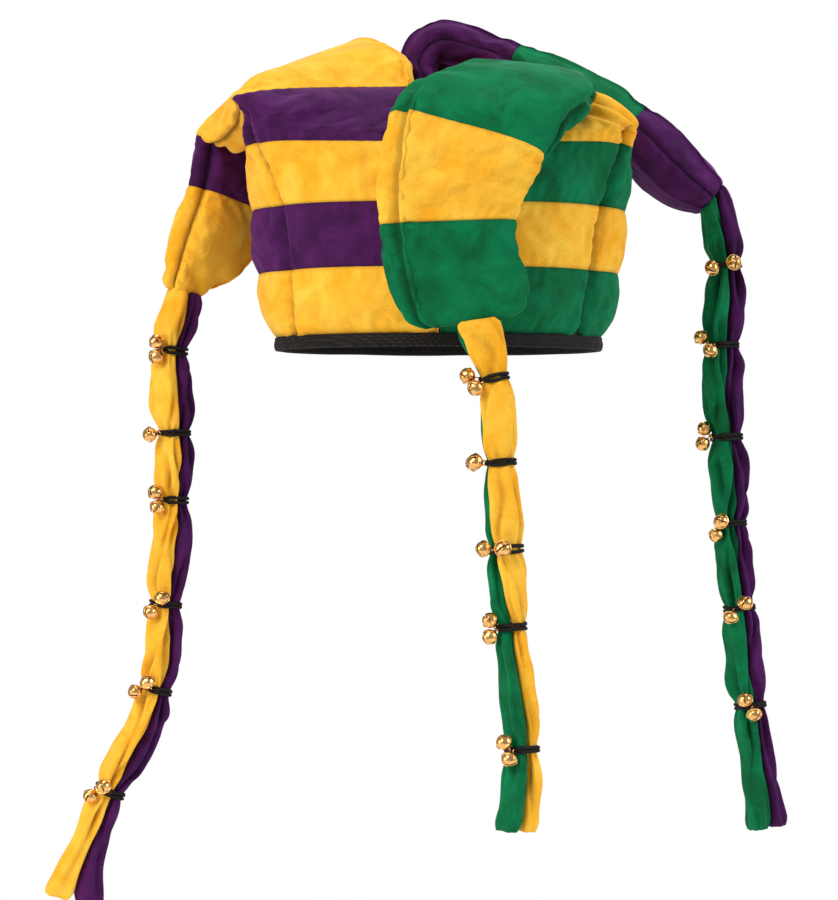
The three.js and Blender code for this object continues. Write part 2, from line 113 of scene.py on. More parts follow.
def add_node(tree: bpy.types.NodeTree, kind: str, links: dict | None = None, **settings) -> bpy.types.Node:
    """Adds one shader node.

    Args:
        tree: the node tree.
        kind: the node's type name without its Shader prefix.
        links: input name or number to the output socket or the value that it takes.
        settings: attributes to set on the node.

    Returns:
        The new node.
    """
    node = tree.nodes.new("ShaderNode" + kind)
    for name, value in settings.items():
        setattr(node, name, value)
    for name, value in (links or {}).items():
        if isinstance(value, bpy.types.NodeSocket):
            tree.links.new(value, node.inputs[name])
        else:
            node.inputs[name].default_value = value
    return node


def blank_material(name: str) -> tuple[bpy.types.Material, bpy.types.NodeTree, bpy.types.Node]:
    """Makes an empty node material.

    Args:
        name: the material's name.

    Returns:
        The material, its tree and its output node.
    """
    material = bpy.data.materials.new(name)
    material.use_nodes = True
    material.node_tree.nodes.clear()
    output = add_node(material.node_tree, "OutputMaterial")
    return material, material.node_tree, output


def blend(tree: bpy.types.NodeTree, factor: bpy.types.NodeSocket, first: str,
          second: str) -> bpy.types.NodeSocket:
    """Mixes two hex colours by a factor, and returns the mix's output."""
    mix = add_node(tree, "Mix", {"Factor": factor, 6: linear(first), 7: linear(second)}, data_type="RGBA")
    return mix.outputs[2]


def coat(tree: bpy.types.NodeTree, output: bpy.types.Node, inputs: dict) -> None:
    """Adds the surface shader with its inputs and links it to the material's output."""
    shader = add_node(tree, "BsdfPrincipled", inputs)
    tree.links.new(shader.outputs["BSDF"], output.inputs["Surface"])


@dataclass(frozen=True)
class VelvetFinish:
    """Cotton velvet: a short dense pile that drinks light face on and lights up along turned edges."""

    name: str
    deep: str
    lit: str
    sheen: str
    sheen_weight: float
    pile_mm: float = 0.9
    crush_mm: float = 22.0

    def material(self) -> bpy.types.Material:
        """Builds the velvet, with crushed patches, a fine pile, and painted shade at the seams, creases and
        folds, read from the mesh.
        """
        material, tree, output = blank_material(self.name)
        place = add_node(tree, "TexCoord").outputs["Object"]
        crush = add_node(tree, "TexNoise", {"Vector": place, "Scale": 1 / (self.crush_mm * MM),
                                            "Detail": 3.0, "Roughness": 0.6, "Distortion": 0.6})
        # The real pile is about 0.3 mm, and it's drawn three times as coarse so that it shows.
        pile = add_node(tree, "TexNoise", {"Vector": place, "Scale": 1 / (self.pile_mm * MM),
                                           "Detail": 2.0, "Roughness": 0.7})
        spread = add_node(tree, "MapRange", {"Value": crush.outputs["Fac"], "From Min": 0.35,
                                             "From Max": 0.68})
        colour = blend(tree, spread.outputs["Result"], self.deep, self.lit)
        grain = add_node(tree, "MapRange", {"Value": pile.outputs["Fac"], "From Min": 0.25, "From Max": 0.75,
                                            "To Min": 0.86, "To Max": 1.1})
        # Painted shade: the stored attribute darkens the pile at the seams, in the creases and folds and
        # where two strands meet; the pile grain is the cloth's own.
        seam = add_node(tree, "Attribute", attribute_name="sewn")
        painted_shade_factor = add_node(tree, "Math", {0: 1.0, 1: seam.outputs["Fac"]}, operation="SUBTRACT")
        shade = add_node(tree, "Math", {0: grain.outputs["Result"], 1: painted_shade_factor.outputs[0]},
                         operation="MULTIPLY")
        tinted = add_node(tree, "VectorMath", {0: colour}, operation="SCALE")
        tree.links.new(shade.outputs[0], tinted.inputs["Scale"])
        nap = add_node(tree, "Bump", {"Height": pile.outputs["Fac"], "Strength": 0.35, "Distance": 0.0006})
        bent = add_node(tree, "Bump", {"Height": crush.outputs["Fac"], "Strength": 0.25, "Distance": 0.004,
                                       "Normal": nap.outputs["Normal"]})
        coat(tree, output, {
            "Base Color": tinted.outputs[0], "Normal": bent.outputs["Normal"], "Roughness": 0.85,
            "Specular IOR Level": 0.15, "Sheen Weight": self.sheen_weight, "Sheen Roughness": 0.38,
            "Sheen Tint": linear(self.sheen)})
        return material


@dataclass(frozen=True)
class WovenFinish:
    """Plain black polyester weave of bindings, linings and covered elastic: matt, with a fine thread grid."""

    name: str
    deep: str
    lit: str
    thread_mm: float = 0.9

    def material(self) -> bpy.types.Material:
        """Builds the weave from two crossed thread waves."""
        material, tree, output = blank_material(self.name)
        place = add_node(tree, "TexCoord").outputs["Object"]
        scale = 1 / (self.thread_mm * MM) / (2 * math.pi)
        warp = add_node(tree, "TexWave", {"Vector": place, "Scale": scale, "Distortion": 1.5},
                        bands_direction="DIAGONAL")
        weft = add_node(tree, "TexWave", {"Vector": place, "Scale": scale, "Distortion": 1.5},
                        bands_direction="Z")
        cloth = add_node(tree, "Math", {0: warp.outputs["Fac"], 1: weft.outputs["Fac"]}, operation="MULTIPLY")
        colour = blend(tree, cloth.outputs[0], self.deep, self.lit)
        weave = add_node(tree, "Bump", {"Height": cloth.outputs[0], "Strength": 0.5, "Distance": 0.0004})
        coat(tree, output, {
            "Base Color": colour, "Normal": weave.outputs["Normal"], "Roughness": 0.8,
            "Specular IOR Level": 0.25, "Sheen Weight": 0.2, "Sheen Roughness": 0.5,
            "Sheen Tint": linear(self.lit)})
        return material


@dataclass(frozen=True)
class BrassFinish:
    """Stamped and tumbled brass, bright with a few soft dents, so its highlights break up."""

    name: str
    metal: str
    dull: str

    def material(self) -> bpy.types.Material:
        """Builds the brass, with dull patches and small dents."""
        material, tree, output = blank_material(self.name)
        place = add_node(tree, "TexCoord").outputs["Object"]
        patch = add_node(tree, "TexNoise", {"Vector": place, "Scale": 420.0, "Detail": 3.0})
        dents = add_node(tree, "TexNoise", {"Vector": place, "Scale": 300.0, "Detail": 1.0})
        colour = blend(tree, patch.outputs["Fac"], self.metal, self.dull)
        rough = add_node(tree, "MapRange", {"Value": patch.outputs["Fac"], "To Min": 0.12, "To Max": 0.34})
        dented = add_node(tree, "Bump", {"Height": dents.outputs["Fac"], "Strength": 0.5, "Distance": 0.0012})
        coat(tree, output, {"Base Color": colour, "Normal": dented.outputs["Normal"], "Metallic": 1.0,
                            "Roughness": rough.outputs["Result"]})
        return material


VELVETS = {
    Pile.GOLD: VelvetFinish("gold_velvet_pile", "#f5ab20", "#ffc842", "#ffdf9a", 0.28),
    Pile.PURPLE: VelvetFinish("purple_velvet_pile", "#360c3d", "#501859", "#a862b8", 0.36),
    Pile.GREEN: VelvetFinish("green_velvet_pile", "#005a31", "#00794a", "#2fae78", 0.3),
}
TRIM = WovenFinish("black_binding_weave", "#0d0b0a", "#2a2420")
BRASS = BrassFinish("brass_bell_metal", "#ffd08a", "#e0a052")


class Wardrobe:
    """Keeps one material for each finish."""

    def __init__(self) -> None:
        """Starts with no material made."""
        self.made: dict[str, bpy.types.Material] = {}

    def get(self, finish: VelvetFinish | WovenFinish | BrassFinish) -> bpy.types.Material:
        """Returns the finish's material, made at its first use."""
        if finish.name not in self.made:
            self.made[finish.name] = finish.material()
        return self.made[finish.name]


@dataclass
class Profile:
    """One cross-section of a velvet section, in millimetres and degrees."""

    stripe: float
    out: float
    over: float
    up: float
    aim: float
    dip: float
    roll: float
    ridge: float
    seam: float
    spread: float
    round: float
    flat: float
    puff: float
    hollow: float
    cap: float
    level: float


@dataclass
class CrownRow:
    """One row of the crown's table, in shares of the crown's and the head's radius."""

    stripe: float
    ridge: float
    valley: float
    puff: float
    hollow: float
    lean: float
    sink: float

    def profile(self, foot: "HornRow") -> Profile:
        """The section in real lengths above the given horn foot."""
        handle = 4 / 3 * math.tan(math.radians(SECTOR_HALF_ANGLE / 4))
        up = BINDING_HEIGHT + PIECE_GAP + self.stripe * STRIPE_HEIGHT
        up += self.sink * (foot.up - 1) * CROWN_TOP
        return Profile(self.stripe, self.sink * PIECE_GAP, 0, up, 0, self.sink * foot.dip,
                       self.lean * foot.roll, self.ridge * CROWN_RADIUS, self.valley * CROWN_RADIUS,
                       SECTOR_HALF_ANGLE, handle * self.ridge * CROWN_RADIUS,
                       handle * self.valley * CROWN_RADIUS, self.puff * CROWN_RADIUS,
                       self.hollow * HEAD_RADIUS, 0, 1)


@dataclass
class HornRow:
    """One row of a horn's table, in shares of the horn's reach, width and thickness."""

    stripe: float
    out: float
    over: float
    up: float
    aim: float
    dip: float
    roll: float
    width: float
    thick: float

    def profile(self) -> Profile:
        """The section in real lengths."""
        thickness = self.thick * HORN_THICKNESS
        width = self.width * HORN_WIDTH
        return Profile(self.stripe, self.out * HORN_REACH, self.over * HORN_REACH, self.up * CROWN_TOP,
                       self.aim, self.dip, self.roll, width, INNER_HALF_SHARE * thickness, 90,
                       RIDGE_ROUND_SHARE * thickness, FACE_FLAT_SHARE * width, 0, 0,
                       INNER_BULGE_SHARE * thickness, 0)


CROWN_ROWS = [
    CrownRow(0.0, 0.875, 0.875, 0.0, 1.0, 0, 0),
    CrownRow(0.12, 0.885, 0.88, 0.02, 0.995, 0, 0),
    CrownRow(0.4, 0.895, 0.89, 0.05, 0.99, 0, 0),
    CrownRow(1.0, 0.915, 0.905, 0.075, 0.99, 0, 0),
    CrownRow(2.0, 0.965, 0.92, 0.075, 0.96, 0, 0),
    CrownRow(2.6, 1.02, 0.87, 0.07, 0.87, 0, 0),
    CrownRow(3.0, 1.07, 0.78, 0.06, 0.75, 0, 0.1),
    CrownRow(3.3, 1.09, 0.64, 0.05, 0.55, 0, 0.5),
    CrownRow(3.55, 1.11, 0.48, 0.04, 0.28, 0.05, 0.85),
    CrownRow(3.75, 1.12, 0.34, 0.02, 0.006, 0.15, 1),
]

HORN_ROWS = {
    Side.LEFT: [
        HornRow(4.0, 0.18, 0.04, 0.985, -6, 4, 24, 1.2, 0.88),
        HornRow(4.3, 0.16, 0.17, 1.085, -4, 13, 60, 1.17, 1.0),
        HornRow(4.6, 0.18, 0.55, 1.14, 2, 25, 98, 1.1, 1.0),
        HornRow(4.8, 0.18, 0.92, 1.02, 8, 19, 125, 1.02, 1.0),
        HornRow(5.0, 0.2, 1.17, 0.83, 16, -1, 152, 0.92, 1.0),
        HornRow(6.0, 0.38, 1.2, 0.56, 20, -12, 170, 0.77, 0.95),
        HornRow(6.5, 0.6, 1.16, 0.37, 20, -14, 168, 0.6, 0.85),
        HornRow(7.0, 0.91, 1.07, 0.22, 20, -12, 166, 0.28, 0.55),
    ],
    Side.FRONT: [
        HornRow(4.0, 0.14, 0.07, 0.985, 0, 6, 36, 1.02, 0.85),
        HornRow(4.3, 0.28, 0.3, 1.0, 4, 8, 74, 0.93, 0.95),
        HornRow(4.6, 0.45, 0.62, 0.97, 12, 10, 98, 0.89, 0.95),
        HornRow(4.8, 0.46, 0.92, 0.92, 20, 14, 124, 0.9, 0.95),
        HornRow(5.0, 0.43, 1.1, 0.81, 28, 17, 152, 0.9, 0.95),
        HornRow(6.0, 0.4, 1.14, 0.43, 38, -2, 178, 0.76, 0.95),
        HornRow(6.6, 0.45, 1.12, 0.2, 38, -2, 182, 0.76, 0.85),
        HornRow(7.0, 0.52, 1.1, 0.05, 38, -8, 184, 0.66, 0.6),
    ],
    Side.BACK: [
        HornRow(4.0, 0.17, -0.02, 1.0, 0, 4, 2, 1.15, 0.9),
        HornRow(4.4, 0.24, -0.1, 1.12, 0, 5, 22, 1.06, 1.05),
        HornRow(4.7, 0.26, 0.03, 1.2, 0, 7, 86, 0.98, 1.1),
        HornRow(5.0, 0.22, 0.39, 1.12, -2, 8, 113, 0.92, 1.15),
        HornRow(6.0, 0.2, 1.04, 0.87, -4, 6, 121, 0.78, 1.3),
        HornRow(6.6, 0.24, 1.29, 0.71, -4, 4, 123, 0.6, 1.2),
        HornRow(7.0, 0.3, 1.48, 0.6, -4, 0, 128, 0.28, 0.9),
    ],
}

HEADINGS = {Side.LEFT: 210.0, Side.FRONT: 330.0, Side.BACK: 90.0}

STRIPE_PILES = {
    Side.LEFT: (Pile.GOLD, Pile.PURPLE),
    Side.FRONT: (Pile.GREEN, Pile.GOLD),
    Side.BACK: (Pile.PURPLE, Pile.GREEN),
}


def smooth_row(table: np.ndarray, at: float) -> np.ndarray:
    """Values between two rows of a table, smoothly along its first column.

    Args:
        table: rows of numbers, sorted by their first column.
        at: the place along that column.

    Returns:
        The row at that place.
    """
    last = len(table) - 2
    index = int(np.clip(np.searchsorted(table[:, 0], at, side="right") - 1, 0, last))
    a, b = table[index], table[index + 1]
    before, after = table[max(0, index - 1)], table[min(last + 1, index + 2)]
    span = b[0] - a[0]
    t = (at - a[0]) / span
    slope_a = (b - before) / (b[0] - before[0]) * span
    slope_b = (after - a) / (after[0] - a[0]) * span
    return (a * (2 * t ** 3 - 3 * t ** 2 + 1) + slope_a * (t ** 3 - 2 * t ** 2 + t)
            + b * (3 * t ** 2 - 2 * t ** 3) + slope_b * (t ** 3 - t ** 2))


def section_axes(side: Side, row: Profile) -> tuple[np.ndarray, np.ndarray, np.ndarray]:
    """Where a cross-section lies.

    Args:
        side: the section's horn.
        row: the cross-section.

    Returns:
        Its origin and its two axes in space.
    """
    heading = math.radians(HEADINGS[side])
    azimuth = math.radians(HEADINGS[side] + row.aim)
    dip, roll = math.radians(row.dip), math.radians(row.roll)
    outward = np.array([math.cos(heading), math.sin(heading), 0])
    sideways = np.array([outward[1], -outward[0], 0])
    axis_u = np.array([math.cos(azimuth) * math.cos(dip), math.sin(azimuth) * math.cos(dip), -math.sin(dip)])
    level = np.array([math.sin(azimuth), -math.cos(azimuth), 0])
    normal = np.cross(level, axis_u) * math.cos(roll) + level * math.sin(roll)
    stretch = 1 + row.level * (1 / math.cos(roll) - 1)
    axis_v = np.cross(normal, axis_u) * stretch
    shift = SEWN_SHARE / math.sin(math.radians(SECTOR_HALF_ANGLE))
    origin = outward * (row.out + shift) + sideways * row.over + np.array([0, 0, row.up])
    return origin, axis_u, axis_v


def cubic(a: float, b: float, c: float, d: float, t: np.ndarray) -> np.ndarray:
    """A cubic Bezier curve's values at t."""
    s = 1 - t
    return a * s ** 3 + 3 * b * s ** 2 * t + 3 * c * s * t ** 2 + d * t ** 3


def arc_lengths(points: np.ndarray, axis: int) -> np.ndarray:
    """Running length along one axis of a grid of points, in the points' own unit."""
    steps = np.linalg.norm(np.diff(points, axis=axis), axis=2)
    lead = np.zeros_like(np.take(steps, [0], axis=axis))
    return np.concatenate([lead, np.cumsum(steps, axis=axis)], axis=axis)


def grid_normals(points: np.ndarray) -> np.ndarray:
    """Unit normals of a grid of points whose second axis runs round a closed tube."""
    around = np.roll(points, -1, axis=1) - np.roll(points, 1, axis=1)
    along = np.gradient(points, axis=0)
    normals = np.cross(around, along)
    return normals / np.maximum(np.linalg.norm(normals, axis=2, keepdims=True), 1e-9)


def cloth_noise(points: np.ndarray, size: float, seed: float) -> np.ndarray:
    """Smooth noise from -1 to 1 at each point.

    Args:
        points: places in millimetres, in any grid.
        size: the size of one swell in millimetres.
        seed: a shift that gives each piece its own pattern.

    Returns:
        One value for each point.
    """
    flat = points.reshape(-1, 3) / size + seed
    return np.array([noise.noise(Vector(p)) for p in flat]).reshape(points.shape[:-1])


def tube_mesh(name: str, points: np.ndarray, closed: bool = False,
              crisp: tuple[int, ...] = ()) -> bpy.types.Object:
    """A closed tube through rings of points.

    Args:
        name: the piece's name.
        points: rings by points by xyz, in millimetres, each ring open between its last and first point.
        closed: whether the last ring joins the first, as on a loop.
        crisp: the rings whose edge stays sharp when the tube is smoothed.

    Returns:
        The new object, linked to the scene.
    """
    rings, count = points.shape[:2]
    rows = rings if closed else rings - 1
    bm = bmesh.new()
    bmesh.ops.create_grid(bm, x_segments=count, y_segments=rows, size=1.0)
    place = bm.verts.layers.int.new("grid")
    for vert in bm.verts:
        column = round((vert.co.x + 1) / 2 * count) % count
        row = round((vert.co.y + 1) / 2 * rows) % rings
        vert[place] = row * count + column
        vert.co = points[row, column] * MM
    bmesh.ops.remove_doubles(bm, verts=bm.verts, dist=1e-7)
    sharp = bm.edges.layers.float.new("crease_edge")
    if not closed:
        ends = [edge for edge in bm.edges if edge.is_boundary]
        for edge in ends:
            edge[sharp] = float(edge.verts[0][place] // count in crisp)
        caps = bmesh.ops.holes_fill(bm, edges=ends, sides=0)["faces"]
        bmesh.ops.triangulate(bm, faces=caps)
    bmesh.ops.recalc_face_normals(bm, faces=bm.faces)
    return finish_mesh(name, bm)


def store_shade(piece: bpy.types.Object, shade: np.ndarray) -> None:
    """Stores the painted shade at each point of a tube, for the velvet.

    Args:
        piece: a tube's object.
        shade: the painted shade at each point of its grid, from 0 to 1.
    """
    grid = np.zeros(len(piece.data.vertices), np.int32)
    piece.data.attributes["grid"].data.foreach_get("value", grid)
    attribute = piece.data.attributes.new("sewn", "FLOAT", "POINT")
    attribute.data.foreach_set("value", shade.ravel()[grid].astype(np.float32))


def finish_mesh(name: str, bm: bmesh.types.BMesh) -> bpy.types.Object:
    """Turns a bmesh into a smooth object in the scene and frees it."""
    mesh = bpy.data.meshes.new(name)
    bm.to_mesh(mesh)
    bm.free()
    mesh.shade_smooth()
    piece = bpy.data.objects.new(name, mesh)
    bpy.context.scene.collection.objects.link(piece)
    return piece


def subdivide(piece: bpy.types.Object, levels: int = 1) -> None:
    """Adds a live subdivision with the same level in view and render."""
    modifier = piece.modifiers.new("smooth", "SUBSURF")
    modifier.levels = levels
    modifier.render_levels = levels


def report_piece(piece: bpy.types.Object, slot: str, *nodes: str) -> None:
    """Ties a finished piece to the frame and logs it."""
    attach(piece, BODY)
    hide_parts(*nodes)
    log.info("%s: %d faces", piece.name, len(piece.data.polygons))


@dataclass
class Crease:
    """A fold line in the velvet, between two places given by stripe number and millimetres from the ridge."""

    stripe_a: float
    across_a: float
    stripe_b: float
    across_b: float
    depth: float
    width: float


CREASES = {
    Side.LEFT: [
        Crease(4.72, -6, 5.05, -10, 3.2, 3.2),
        Crease(4.66, -22, 5.02, -27, 2.8, 3.6),
        Crease(4.8, -40, 5.3, -48, 2.4, 4.0),
        Crease(4.85, 8, 5.0, 6, 2.0, 3.0),
        Crease(5.96, -22, 6.16, -46, 1.8, 2.6),
        Crease(6.08, -20, 6.22, -34, 1.3, 2.4),
    ],
    Side.FRONT: [
        Crease(3.3, -4, 3.95, -16, 3.0, 3.4),
        Crease(3.5, 16, 3.98, -2, 2.6, 3.0),
        Crease(3.72, 30, 3.98, 12, 2.2, 3.0),
        Crease(4.72, -12, 5.1, -26, 2.6, 4.0),
    ],
    Side.BACK: [
        Crease(4.5, 2, 4.95, 16, 2.4, 3.4),
        Crease(4.4, 28, 4.85, 46, 2.2, 3.4),
        Crease(4.7, -12, 4.95, 4, 1.8, 3.2),
    ],
}

RIDGE_DRIFT = {
    Side.LEFT: ((0, -1), (1, 5), (2, 5), (2.5, 0), (3, -7), (3.6, -8), (4.2, -6), (5, -8), (6, -8), (7, -4)),
    Side.FRONT: ((0, -5), (1, 0), (2, 3), (2.7, 7), (3, 6), (4, 3), (4.3, 0), (7, 0)),
    Side.BACK: ((0, 0), (4, 0), (7, 0)),
}


INNER_SEAMS = {Side.LEFT: 0.5, Side.FRONT: 0.03, Side.BACK: 0.5}


def groove(distance: np.ndarray, depth: float, width: float) -> np.ndarray:
    """How deep a seam draws the cloth in at each distance from it."""
    return depth * np.exp(-(distance / width) ** 2)


def squared(values: np.ndarray, power: float = 0.8) -> np.ndarray:
    """A circle's coordinate, drawn out towards a rounded square."""
    return np.sign(values) * np.abs(values) ** power


def smooth_step(values: np.ndarray, low: float, high: float) -> np.ndarray:
    """A soft step from 0 at low to 1 at high."""
    t = np.clip((values - low) / (high - low), 0, 1)
    return t * t * (3 - 2 * t)


@dataclass
class Seams:
    """Each grid point's distance in millimetres from the seams round it, and its place on the stripe."""

    ridge: np.ndarray
    inner: np.ndarray
    edge: np.ndarray
    ends: np.ndarray
    across: np.ndarray
    level: np.ndarray

    def nearest(self) -> np.ndarray:
        """The distance from the nearest seam of any kind."""
        return np.minimum.reduce([self.ridge, self.inner, self.edge, self.ends])


@dataclass
class Section:
    """One of the hat's three velvet sections, from the rim to the end of its horn."""

    side: Side
    wardrobe: Wardrobe
    face_steps: int = 46
    wall_steps: int = 3
    inner_steps: int = 20
    stitch_step: float = 2.5
    inset: float = 1.5
    ridge_depth: float = 4.4
    inner_depth: float = 3.0
    edge_depth: float = 1.6
    stripe_depth: float = 0.45
    stripe_pitch: float = 38.0
    pucker_pitch: float = 7.5
    cloth: list = field(default_factory=list)

    def table(self) -> np.ndarray:
        """The section's cross-sections from the rim to the tip, as rows of numbers."""
        horn = HORN_ROWS[self.side]
        rows = [row.profile(horn[0]) for row in CROWN_ROWS] + [row.profile() for row in horn]
        return np.array([astuple(row) for row in rows], float)

    def ring(self, row: Profile) -> np.ndarray:
        """One cross-section's points in space, round its two faces and its inner side.

        Args:
            row: the cross-section.

        Returns:
            Points by xyz in millimetres.
        """
        angle = math.radians(row.spread)
        end = (row.seam * math.cos(angle), row.seam * math.sin(angle))
        pull = (end[0] + row.flat * math.sin(angle) + row.puff * math.cos(angle),
                end[1] - row.flat * math.cos(angle) + row.puff * math.sin(angle))
        t = np.linspace(0, 1, self.face_steps + 1)
        u = cubic(row.ridge, row.ridge + row.puff, pull[0], end[0], t)
        v = cubic(0, row.round, pull[1], end[1], t)
        q = np.linspace(1, -1, self.inner_steps + 1)
        inner_u = row.hollow * np.cos(q * angle) - row.cap * (1 - q * q)
        inner_v = row.hollow * np.sin(q * angle) + row.cap * q
        w = np.arange(1, self.wall_steps) / self.wall_steps
        wall_u = end[0] + (inner_u[0] - end[0]) * w
        wall_v = end[1] + (inner_v[0] - end[1]) * w
        us = np.concatenate([u[:0:-1], u, wall_u, inner_u, wall_u[::-1]])
        vs = np.concatenate([-v[:0:-1], v, wall_v, inner_v, -wall_v[::-1]])
        origin, axis_u, axis_v = section_axes(self.side, row)
        return origin + us[:, None] * axis_u + vs[:, None] * axis_v

    def rings(self, stripe: int) -> tuple[np.ndarray, np.ndarray]:
        """A stripe's cross-sections, about one stitch apart, and their places in stripes from the rim."""
        table = self.table()
        rough = np.array([self.ring(Profile(*smooth_row(table, stripe + i / 12))) for i in range(13)])
        length = arc_lengths(rough, 0)[-1].max()
        steps = max(10, round(length / self.stitch_step))
        places = stripe + np.linspace(0, 1, steps + 1)
        return np.array([self.ring(Profile(*smooth_row(table, at))) for at in places]), places

    def seams(self, points: np.ndarray, places: np.ndarray, stripe: int) -> Seams:
        """Measures how far each point of a stripe lies from its seams."""
        around = arc_lengths(points, 1)
        across = around - around[:, [self.face_steps]]
        drift = np.interp(places, *zip(*RIDGE_DRIFT[self.side]))[:, None]
        along = arc_lengths(points, 0)
        ends = np.minimum(along, along[[-1]] - along)
        far = np.full_like(across, 99.0)
        last_face = 2 * self.face_steps
        if stripe < CROWN_STRIPES:
            inner = far
            edge = np.minimum(around, np.abs(around - around[:, [last_face]]))
        else:
            start = around[:, [last_face + self.wall_steps]]
            width = around[:, [last_face + self.wall_steps + self.inner_steps]] - start
            inner = np.abs(around - start - INNER_SEAMS[self.side] * width)
            edge = far
        level = np.repeat(places[:, None], points.shape[1], axis=1)
        return Seams(np.abs(across - drift), inner, edge, ends, across - drift, level)

    def creases(self, seams: Seams) -> tuple[np.ndarray, np.ndarray]:
        """How deep the fold lines draw the cloth in, and how much painted shade they lay along them."""
        depth = np.zeros_like(seams.across)
        shade = np.zeros_like(seams.across)
        for crease in CREASES[self.side]:
            start = np.array([crease.stripe_a * self.stripe_pitch, crease.across_a])
            span = np.array([crease.stripe_b * self.stripe_pitch, crease.across_b]) - start
            place = np.stack([seams.level * self.stripe_pitch, seams.across], axis=-1) - start
            t = np.clip((place @ span) / (span @ span), 0, 1)
            away = np.linalg.norm(place - t[..., None] * span, axis=-1)
            taper = 0.35 + 0.65 * np.sin(np.pi * np.clip(t, 0.08, 0.92))
            depth += taper * (groove(away, crease.depth, crease.width)
                              - groove(away - 2.2 * crease.width, 0.45 * crease.depth, 1.4 * crease.width))
            # Painted shade along the crease's valley.
            shade += taper * groove(away, 0.22, 0.7 * crease.width)
        return depth, shade

    def draw_in(self, points: np.ndarray, seams: Seams, stripe: int) -> tuple[np.ndarray, np.ndarray]:
        """Draws the cloth in at its seams, with puckers and soft swells between them.

        Args:
            points: the stripe's smooth surface.
            seams: its distances from the seams.
            stripe: its number.

        Returns:
            The new points, and the painted shade at each, from 0 to 1, darkest at the seams and in the
            creases.
        """
        seed = 17.0 * stripe + 5.0 * HEADINGS[self.side]
        free = smooth_step(seams.nearest(), 0.0, 9.0)
        swell = free * (1.1 * cloth_noise(points, 30.0, seed) + 0.35 * cloth_noise(points, 11.0, seed + 3))
        wave = cloth_noise(points, 24.0, 9.0) * 4.0
        pucker = np.sin(2 * math.pi * seams.level * self.stripe_pitch / self.pucker_pitch + wave)
        gather = np.sin(2 * math.pi * seams.across / self.pucker_pitch + wave)
        crease, fold_shade = self.creases(seams)
        depth = (self.inset + groove(seams.ridge, self.ridge_depth, 3.0)
                 - groove(seams.ridge - 9.0, 1.2, 5.0)
                 + groove(seams.inner, self.inner_depth, 3.0) - groove(seams.inner - 8.0, 0.6, 5.0)
                 + groove(seams.edge, self.edge_depth, 3.5) + groove(seams.ends, self.stripe_depth, 1.6)
                 + pucker * (groove(seams.ridge, 0.55, 8.0) + groove(seams.inner, 0.5, 8.0))
                 + gather * groove(seams.ends, 0.22, 5.0) + crease - swell)
        if stripe < CROWN_STRIPES:
            lining = slice(2 * self.face_steps + 1, None)
            depth[:, lining] = -1.1 * smooth_step(seams.level[:, lining], 3.2, 3.6)
        # Painted shade: the pile is darkened along the ridge, inner and edge seams, at the stripe ends and in
        # the creases.
        shade = (groove(seams.ridge, 0.7, 2.1) + groove(seams.inner, 0.65, 1.8)
                 + groove(seams.edge, 0.45, 1.2) + groove(seams.ends, 0.22, 0.6) + fold_shade)
        moved = points - grid_normals(points) * depth[..., None]
        return moved, np.clip(shade, 0, DARKEST_SHADE)

    def stripe(self, stripe: int) -> bpy.types.Object:
        """Builds one velvet stripe.

        Args:
            stripe: its number, from 0 at the rim.

        Returns:
            The dressed piece.
        """
        points, places = self.rings(stripe)
        seams = self.seams(points, places, stripe)
        moved, shade = self.draw_in(points, seams, stripe)
        if stripe == STRIPE_COUNT - 1:
            self.round_end(moved)
        self.seat(moved, stripe)
        sewn_ends = (0,) if stripe == STRIPE_COUNT - 1 else (0, len(moved) - 1)
        piece = tube_mesh(f"{self.side.value}_velvet_{stripe + 1}", moved, crisp=sewn_ends)
        self.mark(piece, stripe, seams, shade)
        return piece

    def seat(self, points: np.ndarray, stripe: int) -> None:
        """Leaves a hair's breadth to the next stripe at both ends, and tucks the first into the binding."""
        for end, beside in ((0, 1), (-1, -2)):
            along = points[beside] - points[end]
            move = -1.2 if stripe == 0 and end == 0 else 0.2 * SEWN_SHARE
            points[end] += along / np.linalg.norm(along, axis=1, keepdims=True) * move

    def round_end(self, points: np.ndarray) -> None:
        """Rounds off the end of the horn over its last few millimetres."""
        along = arc_lengths(points, 0)
        left = (along[-1] - along).mean(axis=1)
        x = np.clip(1 - left / 7.0, 0, 1)
        shrink = 1 - 0.26 * x ** 2.4
        centre = points.mean(axis=1, keepdims=True)
        points[:] = centre + (points - centre) * shrink[:, None, None]

    def mark(self, piece: bpy.types.Object, stripe: int, seams: Seams, shade: np.ndarray) -> None:
        """Dresses a stripe, and stores its painted shade for the velvet and its pins for the cloth
        simulation.

        Args:
            piece: the stripe.
            stripe: its number.
            seams: each grid point's distances from the seams.
            shade: the painted shade there.
        """
        grid = np.zeros(len(piece.data.vertices), np.int32)
        piece.data.attributes["grid"].data.foreach_get("value", grid)
        inside = (grid % shade.shape[1] > 2 * self.face_steps) & (stripe < CROWN_STRIPES)
        lined = inside & (seams.level.ravel()[grid] < 3.5)
        pinned = np.where(inside, 1.0, 1 - smooth_step(seams.nearest().ravel()[grid], 0.4, 3.4))
        pins = piece.vertex_groups.new(name="pins")
        for index in np.flatnonzero(pinned > 0):
            pins.add([int(index)], float(pinned[index]), "REPLACE")
        store_shade(piece, shade)
        pile = STRIPE_PILES[self.side][stripe % 2]
        piece.data.materials.append(self.wardrobe.get(VELVETS[pile]))
        piece.data.materials.append(self.wardrobe.get(TRIM))
        for face in piece.data.polygons:
            face.material_index = int(all(lined[v] for v in face.vertices))

    def build(self) -> list[bpy.types.Object]:
        """Builds all the stripes of the section."""
        self.cloth = [self.stripe(stripe) for stripe in range(STRIPE_COUNT)]
        return self.cloth

    def dress(self) -> None:
        for number, piece in enumerate(self.cloth):
            subdivide(piece)
            pile = STRIPE_PILES[self.side][number % 2]
            report_piece(piece, f"{pile.value}_velvet", f"{self.side.value}_stripe_{number + 1}")


